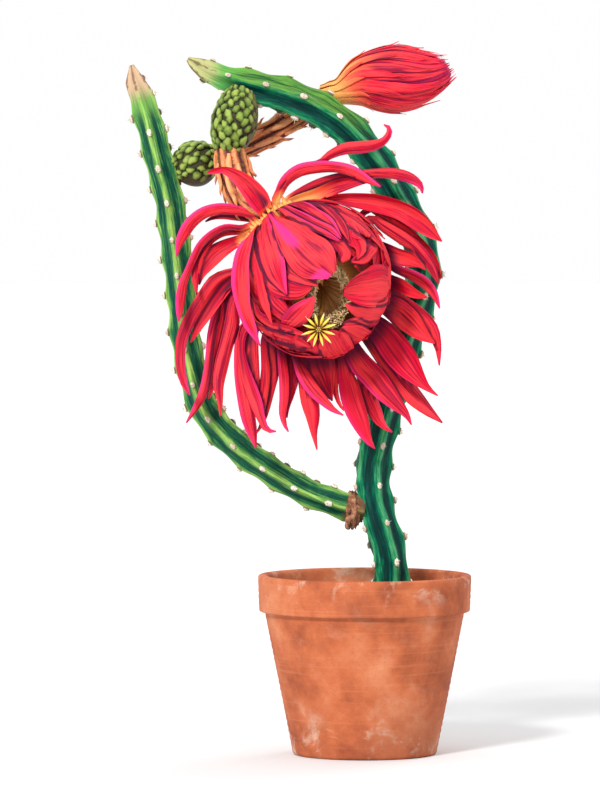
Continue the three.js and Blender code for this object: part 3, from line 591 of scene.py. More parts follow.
ribShape = {
    "steps": 13, "crowding": 1.35, "ringStep": 1.7, "round": 0.06, "reach": 0.8, "bend": 1.2,
    "bump": 0.05, "dent": 0.014,
}


def stemLine(stem):
    reach = sum(math.dist(a[:3], b[:3]) for a, b in zip(stem["rows"], stem["rows"][1:]))
    line, length = smoothCurve(stem["rows"], int(reach / ribShape["ringStep"]))
    forward, right, up = carriedFrame(line[:, :3], (1, 0, 0))
    return line[:, :3], line[:, 3], forward, right, up, length


def crestSwell(stem, length, share, rib):
    phase = share * length / stem["spacing"] + rib * 0.5
    wave = np.cos(phase * math.tau)
    return stem["crenation"] * (wave - 1) + ribShape["bump"] * np.maximum(wave, 0) ** 9


def makeStem(name, stem, node, slot):
    points, full, _, right, up, length = stemLine(stem)
    share = np.linspace(0, 1, len(points))
    steps = np.linspace(-1, 1, ribShape["steps"], endpoint=False)  # round one rib, closer at its crest
    steps = np.sign(steps) * np.abs(steps) ** ribShape["crowding"]
    angles, aside, ribOf = [], [], []
    for rib in range(stem["ribs"]):
        for step in steps:
            angles.append(stem["turn"] + (rib + step / 2) * math.tau / stem["ribs"])
            aside.append(abs(step))
            ribOf.append(rib)
    angles, aside, ribOf = np.array(angles), np.array(aside), np.array(ribOf)
    soft = np.sqrt(aside ** 2 + ribShape["round"] ** 2) - ribShape["round"]
    slope = ((1 - np.minimum(soft / ribShape["reach"], 1)) ** ribShape["bend"])[None, :]
    swell = crestSwell(stem, length, share[:, None], ribOf[None, :])
    dent = ribShape["dent"] * np.sin(share[:, None] * length * 0.33 + ribOf[None, :] * 2.1) * (1 - slope)
    profile = stem["valley"] + (1 - stem["valley"]) * slope + swell * slope ** 1.5 + dent
    radius = full[:, None] * stem["radius"] * profile
    rings = ringsAround(points, right, up, radius, angles)
    run = share * length
    tip = ease(length - 46, length - 6, run)[:, None]
    level = soilShape["level"]
    cleared = ease(level, level + 14, points[:, 2]) if slot == "main_stem" else ease(6, 22, run)
    foot = 1 - cleared[:, None]  # corky just above the soil, or beside the heel
    body = Gathering()
    body.skin(rings, across=np.sin(angles)[None, :], along=np.cos(angles)[None, :],
              own=run[:, None], paint=(slope, tip, foot))
    body.piece(name, stemFinish(name + "Skin", stem["look"]), slot, node)


def stemFinish(name, look):
    skin = Finish(name, {"Specular IOR Level": 0.1})
    where = skin.where()
    sideways, upwards, length = skin.read("place")
    crest, tip, foot = skin.read("paint")
    streak = skin.cloud(skin.vector(sideways * 4.2, upwards * 4.2, length * 0.028), 1.7, 4, 0.6, 0.3)
    fine = skin.cloud(skin.vector(sideways * 17, upwards * 17, length * 0.09), 1.6, 3, 0.6)
    mottle = skin.cloud(where, 260, 5, 0.6)
    # the ramp runs dark in the grooves and pale on the crests: painted shade in the grooves and painted
    # highlight on the crests, over the stem's own lengthwise streaks
    level = crest * 0.62 + (streak - 0.5) * 1.4 + (fine - 0.5) * 0.6 + (mottle - 0.5) * 0.2 + 0.12
    stops = [(0.12, look["groove"]), (0.34, look["flank"]), (0.56, look["light"]), (0.8, look["ridge"])]
    colour = skin.ramp(level, stops)
    colour = skin.blend(colour, look["groove"], skin.cloud(where, 90, 4).between(0.6, 0.75) * 0.35)
    if "sunny" in look:
        _, _, height = skin.outputs(skin.node("ShaderNodeSeparateXYZ", values={0: where}))
        lit = crest * 0.35 + (streak - 0.5) * 1.9 + (fine - 0.5) * 1.1 + 0.4
        upperSide = (sideways + (streak - 0.5) * 0.5).between(0.2, 0.36) * height.between(0.4, 0.428)
        colour = skin.blend(colour, skin.blend(*look["sunny"], lit.between(0.1, 0.85)), upperSide)
    colour = skin.blend(colour, look["top"], tip.between(0.0, 0.5) * 0.55)
    colour = skin.blend(colour, look["tip"], (tip + (streak - 0.5) * 0.7).between(0.45, 0.95))
    dry = (tip * 0.8 + crest * 0.5 + (mottle - 0.5)).between(1.0, 1.25) * tip.between(0.2, 0.6)
    colour = skin.blend(colour, look["brown"], dry * 0.8)
    corky = (foot + (mottle - 0.5) * 0.9).between(0.45, 0.9)
    colour = skin.blend(colour, look["brown"], corky * 0.85)
    scars = skin.cells(where, 150)
    colour = skin.blend(colour, look["brown"], (1 - scars.between(0.03, 0.1)) * 0.3)
    skin.colour(colour)
    skin.rough(0.36 + mottle * 0.22 + corky * 0.35)
    pits = skin.cells(where, 1300)
    skin.relief(fine * 0.5 + pits.between(0.0, 0.5) * 0.22 + mottle * 0.4 + corky * mottle, 0.4, 0.0005)
    return skin.material


makeStem("mainStem", mainStem, "main_stem", "main_stem")
makeStem("sideStem", sideStem, "side_stem", "side_stem")


# Corky heel where the side stem grows out of the main stem

heel = {
    "centre": (-7.5, -1, 160.5), "radii": (5.2, 11.6, 12.4),
    "knobs": 9, "knobRing": (9.6, 10.2), "knobRadii": (2.0, 2.6, 2.8),
}


def corkFinish():
    cork = Finish("cork", {"Specular IOR Level": 0.25})
    where = cork.where()
    cracks = cork.cells(where, 330)
    cloud = cork.cloud(where, 240, 6, 0.7)
    stops = [(0.3, rgb(86, 52, 40)), (0.5, rgb(152, 100, 74)), (0.7, rgb(206, 158, 120))]
    moss = cork.cloud(where, 80).between(0.55, 0.7) * 0.5
    cork.colour(cork.blend(cork.ramp(cloud, stops), rgb(66, 70, 40), moss))
    cork.rough(0.8 + cloud * 0.15)
    cork.relief(cloud + cracks.between(0.1, 0.5) * 0.5, 0.9, 0.0012)
    return cork.material


def lump(centre, radii, rows, count, rough, pitch, seed):
    # a knobbly closed lump; its poles lie along X
    def place(tilt, a):
        p = np.array([-math.cos(tilt), math.sin(tilt) * math.cos(a), math.sin(tilt) * math.sin(a)])
        coarse, fine = grain(*(p * pitch + seed)), grain(*(p * pitch * 2.7 - seed))
        return p * (1 + rough * coarse + 0.5 * rough * fine) * radii

    return roundedRings(np.linspace(0.12, math.pi - 0.12, rows), count, place) + np.array(centre, float)


heelPiece = Gathering()
heelPiece.skin(lump(heel["centre"], heel["radii"], 26, 44, 0.2, 3.4, 5))
for k in range(heel["knobs"]):
    angle = k * math.tau / heel["knobs"] + 0.3
    deep, tall = heel["knobRing"]
    spot = (-9 - 2 * dice.random(), -1 + deep * math.cos(angle), 160.5 + tall * math.sin(angle))
    heelPiece.skin(lump(spot, heel["knobRadii"], 9, 12, 0.35, 2.5, k))
heelPiece.piece("sideHeel", corkFinish(), "side_stem")


# Areoles: small cushions of wool on the rib crests, each with a few short spines

areole = {
    "long": 2.35, "wide": 1.5, "high": 1.25, "standsAt": 1.035, "lowest": 108, "untilTip": 3,
    "spines": 5, "spine": 3.1, "thin": (0.24, 0.2, 0.13, 0.04),
}


def woolFinish():
    wool = Finish("areoleWool", {"Roughness": 0.95, "Sheen Weight": 0.5, "Sheen Roughness": 0.6})
    where = wool.where()
    tufts = wool.cloud(where, 1500, 5, 0.75)
    height, _, own = wool.read("place")
    colour = wool.ramp(tufts * 0.7 + own * 0.3, [(0.28, rgb(176, 158, 128)), (0.5, rgb(226, 216, 196)),
                                                  (0.68, rgb(250, 247, 238))])
    wool.colour(wool.blend(rgb(120, 88, 60), colour, height.between(0.0, 0.45)))
    wool.relief(tufts, 0.9, 0.0006)
    return wool.material


def spineFinish():
    horn = Finish("spineHorn", {"Roughness": 0.45})
    _, along, own = horn.read("place")
    stops = [(0.0, rgb(122, 84, 52)), (0.35, rgb(206, 176, 128)), (1.0, rgb(238, 224, 196))]
    colour = horn.ramp(along, stops)
    horn.colour(horn.blend(colour, rgb(150, 104, 66), own.between(0.6, 0.9) * 0.6))
    horn.relief(horn.cloud(horn.where(), 2500, 2), 0.3, 0.0002)
    return horn.material


def woolTuft(wool, spot, aside, ahead, outward, size, turn, rib):
    def place(tilt, a):
        bump = size * (1 + 0.3 * grain(2.3 * math.cos(a) + turn, 2.3 * math.sin(a) + rib, tilt * 2 + rib))
        flat = aside * areole["wide"] * math.cos(a) + ahead * areole["long"] * math.sin(a)
        return spot + (flat * math.sin(tilt) + outward * areole["high"] * math.cos(tilt)) * bump

    tilts = np.linspace(0.1, math.pi / 2 + 0.5, 9)
    wool.skin(roundedRings(tilts, 14, place), across=np.cos(tilts)[:, None], own=dice.random())


def spineFan(spines, spot, aside, ahead, outward, size):
    runs = np.array([0, 0.35, 0.7, 1])
    for k in range(areole["spines"]):
        lean = 0.35 + 0.75 * dice.random()
        spin = k * math.tau / areole["spines"] + dice.uniform(-0.5, 0.5)
        flat = aside * math.cos(spin) + ahead * math.sin(spin)
        way = unit(outward * math.cos(lean) + math.sin(lean) * flat)
        reach = areole["spine"] * size * dice.uniform(0.55, 1.1)
        root = spot + outward * 0.4
        line = np.array([root + way * reach * t for t in runs])
        _, across, above = carriedFrame(line, ahead + outward * 0.01)
        thin = np.array(areole["thin"])[:, None] * size
        rings = ringsAround(line, across, above, thin, fullTurn(6))
        spines.skin(rings, along=runs[:, None], own=dice.random())


def makeAreoles():
    wool, spines = Gathering(), Gathering()
    for stem, rootGap in ((mainStem, 0.0), (sideStem, 22.0)):
        points, full, forward, right, up, length = stemLine(stem)
        for rib in range(stem["ribs"]):
            angle = stem["turn"] + rib * math.tau / stem["ribs"]
            for turn in range(1, int(length / stem["spacing"]) + 2):
                run = (turn - rib * 0.5) * stem["spacing"]
                if not rootGap < run < length - areole["untilTip"]:
                    continue
                i = int(run / length * (len(points) - 1))
                if points[i][2] < areole["lowest"] and stem is mainStem:
                    continue
                outward = right[i] * math.sin(angle) + up[i] * math.cos(angle)
                ahead = forward[i]
                spot = points[i] + outward * full[i] * stem["radius"] * areole["standsAt"]
                size = mix(0.62, 1.0, ease(0.2, 0.8, full[i])) * dice.uniform(0.85, 1.2)
                aside = np.cross(ahead, outward)
                woolTuft(wool, spot, aside, ahead, outward, size, turn, rib)
                spineFan(spines, spot, aside, ahead, outward, size)
    wool.piece("areoles", woolFinish(), "main_stem")
    spines.piece("spines", spineFinish(), "main_stem")


makeAreoles()


# Ovaries: an egg under the flower, set all over with round green tubercles

# each ovary has a side painted with brown shade: "brown" points to it, the pair after it says where the
# shade begins and where it is full, and "smooth" how flat the tubercles lie in it
ovaries = {
    "bloomOvary": {"start": (-79.8, -14.5, 436.2), "end": (-89.5, -18, 395.5), "radius": 14.6, "around": 11,
                   "rows": 12, "node": "bloom_ovary", "brown": (0.95, 0.1, -0.2), "shadeFrom": (0.3, 0.85),
                   "smooth": 0.5},
    "budOvary": {"start": (-124, 5, 383), "end": (-98, 8, 390), "radius": 15.0, "around": 11, "rows": 8,
                 "node": "bud_ovary", "brown": (0.1, 0.1, -1.0), "shadeFrom": (0.35, 0.7), "smooth": 1.0},
}
tubercle = {
    "high": 2.3, "sink": 0.9, "shift": 0.14, "turn": 0.18, "lean": 0.25, "rough": 0.4, "flattest": 0.2,
}


def ovaryFinish():
    look = {
        "gap": rgb(58, 50, 32), "side": rgb(72, 84, 36), "green": rgb(102, 126, 46),
        "light": rgb(146, 164, 78), "brown": rgb(88, 66, 50),
    }
    egg = Finish("ovaryGreen", {"Specular IOR Level": 0.2})
    where = egg.where()
    height, _, own = egg.read("place")
    brown, _, _ = egg.read("paint")
    cloud = egg.cloud(where, 500, 4, 0.6)
    # painted shade: dark in the gaps between the tubercles and round their feet, light on their tops
    level = height + (cloud - 0.5) * 0.7 + (own - 0.5) * 0.4
    stops = [(0.16, look["gap"]), (0.45, look["side"]), (0.72, look["green"]), (1.0, look["light"])]
    # painted shade: the side of the ovary away from the light turns brown
    shaded = (brown + (cloud - 0.5) * 0.6).between(0.55, 1.1) * 0.75
    egg.colour(egg.blend(egg.ramp(level, stops), look["brown"], shaded))
    egg.rough(0.4 + cloud * 0.25)
    egg.relief(cloud + egg.cells(where, 1500) * 0.2, 0.5, 0.0008)
    return egg.material


def addTubercle(egg, spot, normal, forward, wide, bump, shaded):
    aside = np.cross(forward, normal)
    ahead = np.cross(normal, aside)
    wide = wide * dice.uniform(0.8, 1.15)
    twist, seed = dice.uniform(-0.4, 0.4), 40 * dice.random()

    def dome(tilt):
        return np.maximum(0.0, np.cos(tilt)) ** 0.8

    def place(tilt, a):
        rough = 1 + tubercle["rough"] * grain(1.3 * math.cos(a) + seed, 1.3 * math.sin(a), seed)
        x = math.sin(tilt) * math.cos(a + twist) * rough
        y = 1.2 * math.sin(tilt) * math.sin(a) * rough - tubercle["lean"] * math.cos(tilt)
        return spot + (aside * x + ahead * y) * wide + normal * tubercle["high"] * bump * dome(tilt)

    tilts = np.linspace(0.12, math.pi / 2, 8)
    # the height on its dome sets each point's painted shade: light at the top, dark at the foot
    egg.skin(roundedRings(tilts, 14, place), across=dome(tilts)[:, None], own=dice.random(),
             paint=(shaded, 0, 0))


def makeOvary(name, o, finish):
    egg = Gathering()
    start, end = np.array(o["start"], float), np.array(o["end"], float)
    count = 40
    steps = np.linspace(0, 1, count)
    points = start + (end - start) * steps[:, None]
    forward, right, up = carriedFrame(points, front)
    girth = o["radius"] * np.sin(math.pi * (0.09 + 0.8 * steps)) ** 0.6
    # the way the painted brown shade lies; below, the skin and each tubercle take as much of it as they
    # face that way
    shadeWay = unit(np.array(o["brown"]))
    rings = ringsAround(points, right, up, girth[:, None] - 0.7, fullTurn(56))
    outward = unit(rings - points[:, None, :])
    # the skin between the tubercles lies low on the ramp, in painted shade
    egg.skin(rings, across=0.16, own=0.5, paint=(ease(*o["shadeFrom"], outward @ shadeWay), 0, 0))
    length = np.linalg.norm(end - start)
    size = length / o["rows"] * 1.02
    for i in range(o["rows"]):
        share = (i + 0.5) / o["rows"]
        k = int(share * (count - 1))
        radius = girth[k]
        slope = (girth[min(k + 2, count - 1)] - girth[max(k - 2, 0)]) / (length * 4 / (count - 1))
        for j in range(o["around"]):
            turn = j + 0.5 * (i % 2) + tubercle["turn"] * dice.uniform(-1, 1)
            angle = turn * math.tau / o["around"]
            away = right[k] * math.sin(angle) + up[k] * math.cos(angle)
            normal = unit(away - forward[k] * slope)
            shaded = ease(*o["shadeFrom"], float(normal @ shadeWay))
            bump = dice.uniform(0.8, 1.15) * (1 - o["smooth"] * shaded)
            if bump < tubercle["flattest"]:
                continue
            shift = tubercle["shift"] * dice.uniform(-1, 1) / o["rows"]
            spot = start + (end - start) * (share + shift) + away * (radius - tubercle["sink"])
            wide = min(size * 0.86, radius * math.tau / o["around"] * 0.62)
            addTubercle(egg, spot, normal, forward[k], wide, bump, shaded)
    egg.piece(name, finish, "ovary", o["node"])


ovaryGreen = ovaryFinish()
for ovaryName, ovaryShape in ovaries.items():
    makeOvary(ovaryName, ovaryShape, ovaryGreen)


# Flower tubes: fleshy ribs with long scales that lie along them and end in free points

tubes = {  # rows hold x, y, z and the radius
    "bloomTube": {
        "rows": [(-88, -18, 398, 9.5), (-86, -19, 385, 10.6), (-81.5, -22, 371, 10), (-73, -26, 360, 9.2),
                 (-61.5, -30, 354, 8.6)],
        "scales": 17, "lastScale": 0.5, "node": "bloom_tube", "long": 20, "wide": 5.0},
    "budTube": {
        "rows": [(-102, 8, 389, 8), (-86, 12, 396, 7.6), (-70, 16, 403.5, 7.4), (-56, 21, 411, 7.4),
                 (-44, 25.5, 419, 7.4), (-33, 26, 427, 7), (-23, 22, 434, 6.4)],
        "scales": 26, "lastScale": 0.78, "node": "bud_tube", "long": 20, "wide": 4.4},
}
tubeRibs = {"count": 7, "high": 0.6, "fineCount": 21, "fine": 0.12}


def tubeFinish():
    look = {
        "dark": rgb(74, 36, 36), "brown": rgb(150, 80, 56), "tan": rgb(218, 132, 84),
        "light": rgb(236, 172, 118), "green": rgb(160, 138, 66), "tip": rgb(190, 62, 52),
    }
    tube = Finish("tubeTan", {"Specular IOR Level": 0.2})
    where = tube.where()
    across, along, own = tube.read("place")
    height, scale, _ = tube.read("paint")
    lines = tube.cloud(tube.vector(across * 14, along * 2.5, own * 31), 2.2, 4, 0.6)
    cloud = tube.cloud(where, 330, 4, 0.6)
    # painted shade: dark brown in the grooves between the ribs and at the edges of the scales, light tan on
    # the ribs and the middles of the scales
    level = height * 0.8 + (lines - 0.5) * 0.8 + (cloud - 0.5) * 0.4 + 0.16
    stops = [(0.1, look["dark"]), (0.34, look["brown"]), (0.55, look["tan"]), (0.85, look["light"])]
    colour = tube.ramp(level, stops)
    colour = tube.blend(colour, look["green"], tube.cloud(where, 120).between(0.56, 0.7) * 0.3)
    colour = tube.blend(colour, look["tip"], along.between(0.72, 1.0) * scale * 0.55)
    tube.colour(colour)
    tube.rough(0.5 + cloud * 0.25)
    tube.relief(lines * 0.8 + cloud * 0.4, 0.5, 0.0006)
    return tube.material


def lanceWidth(share):
    opening = 0.5 + 0.5 * np.sin(np.minimum(share / 0.5, 1) * math.pi / 2)
    return opening * (1 - np.maximum(0, (share - 0.5) / 0.5) ** 2.2)


def makeTube(name, t, finish):
    tube = Gathering()
    line, length = smoothCurve(t["rows"], 70)
    points, radii = line[:, :3], line[:, 3]
    forward, right, up = carriedFrame(points, (0, 1, 0))
    angles = fullTurn(84)
    share = np.linspace(0, 1, len(points))[:, None]
    ridge = np.cos(tubeRibs["count"] * angles[None, :] + 1.2 * share)
    small = np.cos(tubeRibs["fineCount"] * angles[None, :] - 2 * share + 1)
    relief = tubeRibs["high"] * (ridge - 1) + tubeRibs["fine"] * small
    rings = ringsAround(points, right, up, radii[:, None] + relief, angles)
    # the finish darkens the grooves between the ribs with painted shade
    tube.skin(rings, across=np.sin(angles)[None, :], along=np.cos(angles)[None, :],
              own=share * length * 0.01, paint=(ridge * 0.35 + 0.25, 0, 0))
    for i in range(t["scales"]):
        first = 0.02 + t["lastScale"] * i / t["scales"]
        angle = i * 2.4 + dice.uniform(-0.15, 0.15)
        reach = t["long"] * dice.uniform(0.8, 1.15)
        path, hints = [], []
        for step in np.linspace(0, 1, 12):
            run = first + step * reach / length
            k = min(int(run * 69), 69)
            beyond = max(0, run - 1) * length
            away = right[k] * math.sin(angle + 0.2 * step) + up[k] * math.cos(angle + 0.2 * step)
            lift = 0.1 + 1.0 * ease(0, 0.3, step) + 2.6 * ease(0.55, 1, step) ** 1.5
            path.append(points[k] + forward[k] * beyond + away * (radii[k] + lift))
            hints.append(away)
        even, _ = smoothCurve(path, 16)
        s = np.linspace(0, 1, 16)
        half = t["wide"] / 2 * lanceWidth(s) * dice.uniform(0.85, 1.15)
        hintRows = np.array([hints[min(int(v * 11), 11)] for v in s])
        rings, across, along = bladeRings(even, hintRows, half, 7, cup=-0.35, thick=1.3)
        # lighter in the middle of each scale, with painted shade towards its edges
        height = 0.45 + 0.5 * (1 - np.abs(across * 2 - 1))
        tube.skin(rings, across, along, dice.random(), paint=(height, 1, 0))
    tube.piece(name, finish, "tube", t["node"])


tubeTan = tubeFinish()
for tubeName, tubeShape in tubes.items():
    makeTube(tubeName, tubeShape, tubeTan)


# Bloom: the ball that the inner petals close around, and the place where all petals join the tube

bloom = {
    "base": np.array([-61.5, -30.0, 354.0]), "centre": np.array([-32.0, -54.0, 315.0]), "ball": 46.0,
    "sag": 1.1,  # how much longer the ball is below its centre than above it
    "mouth": unit(np.array([0.273, -0.905, -0.325])),
}
towardsBase = unit(bloom["base"] - bloom["centre"])


def petalFinish():
    look = {
        "shadow": rgb(62, 2, 44), "deep": rgb(132, 2, 46), "red": rgb(208, 6, 46),
        "bright": rgb(236, 54, 62), "pink": rgb(236, 44, 124), "base": rgb(236, 140, 80),
        "gold": rgb(232, 186, 96), "ochreShade": rgb(132, 70, 40), "orange": rgb(240, 96, 66),
    }
    petal = Finish("petalRed", {"Specular IOR Level": 0.16})
    where = petal.where()
    across, along, own = petal.read("place")
    pink, shade, yellow = petal.read("paint")
    veins = petal.cloud(petal.vector(across * 9, along * 1.1, own * 43), 2.0, 4, 0.6, 0.25)
    fine = petal.cloud(petal.vector(across * 34, along * 2.2, own * 17), 1.8, 3, 0.6)
    wash = petal.cloud(petal.vector(across * 1.6, along * 1.7, own * 71), 1.5, 3, 0.55)
    body = petal.blend(look["deep"], look["red"], (veins + (own - 0.5) * 0.2).between(0.38, 0.55))
    # painted highlight: patches of bright coral over the red
    glow = (wash + (veins - 0.5) * 0.6).between(0.4, 0.58)
    body = petal.blend(body, look["bright"], glow * 0.95)
    body = petal.blend(body, look["deep"], fine.between(0.52, 0.7) * 0.5)
    # the petal's own pink, which also stands for a painted highlight along the lit edge
    pinkAndHighlightMask = (pink + (fine - 0.5) * 0.5 + (veins - 0.5) * 0.5).between(0.3, 0.95) * 0.85
    body = petal.blend(body, look["pink"], pinkAndHighlightMask)
    gloom = shade + ((veins - 0.5) * 0.7 + (fine - 0.5) * 0.3) * shade.between(-0.1, 0.3)
    body = petal.blend(body, look["shadow"], gloom.between(0.3, 0.9) * 0.9)
    ochre = petal.blend(look["base"], look["gold"], fine.between(0.4, 0.6))
    rooted = yellow + (veins - 0.5) * 0.7 + (fine - 0.5) * 0.3
    body = petal.blend(body, look["orange"], rooted.between(0.02, 0.5) * 0.85)
    # painted shade on the yellow bases, in olive
    ochre = petal.blend(ochre, look["ochreShade"], (shade + (fine - 0.5) * 0.8).between(0.1, 0.8) * 0.8)
    body = petal.blend(body, ochre, rooted.between(0.4, 0.95))
    petal.colour(body)
    petal.rough(0.5 + fine * 0.2)
    cells = petal.cloud(where, 1600, 2, 0.5)
    petal.relief(veins * 0.7 + fine * 0.5 + cells * 0.12, 0.4, 0.0006)
    return petal.material


petalRed = petalFinish()


def petalPaint(across, along, length, pink, shade, yellow=7.0, flip=False, hidden=0.0, middle=False):
    # how pink, how shaded and how yellow each point of a petal is: the pink is the petal's own pink
    # and a painted highlight, mostly along its lit edge; the shade is painted shade in a band beside the
    # middle, at the root and along the other edge
    c = across * 2 - 1
    c = -c if flip else c
    shown = np.clip((along - hidden) / max(1 - hidden, 0.1), 0, 1)
    edge = ease(0.0, 1.0, -c) + 0.45 * ease(0.6, 1.0, c) + 0.5 * ease(0.8, 1.0, -c) / max(pink, 0.2)
    if middle:
        edge = 1.6 * np.exp(-((c + 0.34 - 0.3 * shown) / 0.34) ** 2) * ease(0.8, 0.45, shown)
        edge = edge + ease(0.84, 0.96, shown) * ease(0.1, -0.3, c)
    tip = 0.0 if middle else 0.55 * ease(0.78, 1.0, shown)
    pinkAndHighlight = pink * np.clip(edge * ease(0.02, 0.25, shown) + tip, 0, 1)
    band = np.exp(-((c - 0.34 + 0.25 * shown) / 0.34) ** 2) * ease(1.0, 0.75, shown)
    rooted = ease(0.45, 0.0, shown)
    shadeAmount = (0.3 + 0.7 * shade) * (band * (0.65 + 0.4 * rooted) + 0.55 * rooted)
    shadeAmount = np.clip(shadeAmount + 0.4 * ease(0.84, 1.0, c), 0, 1)
    yellowAmount = 1 - ease(0, yellow, along * length)
    return pinkAndHighlight, shadeAmount, yellowAmount


def outsideOf(points, outline):
    # how far each point lies outside a strip in the front view; outline has rows of x, z, half width
    nearest = np.full(points.shape[:-1], 1e9)
    for (x0, z0, w0), (x1, z1, w1) in zip(outline, outline[1:]):
        start, way = np.array([x0, z0]), np.array([x1 - x0, z1 - z0])
        flat = points[..., [0, 2]] - start
        share = np.clip(flat @ way / max(float(way @ way), 1e-6), 0, 1)
        away = np.linalg.norm(flat - share[..., None] * way, axis=-1) - mix(w0, w1, share)
        nearest = np.minimum(nearest, away)
    return nearest


# Outer petals of the bloom

picture = {"scale": 0.5, "left": -192.5, "top": 486.5}  # millimetres in a pixel, and its corner's place
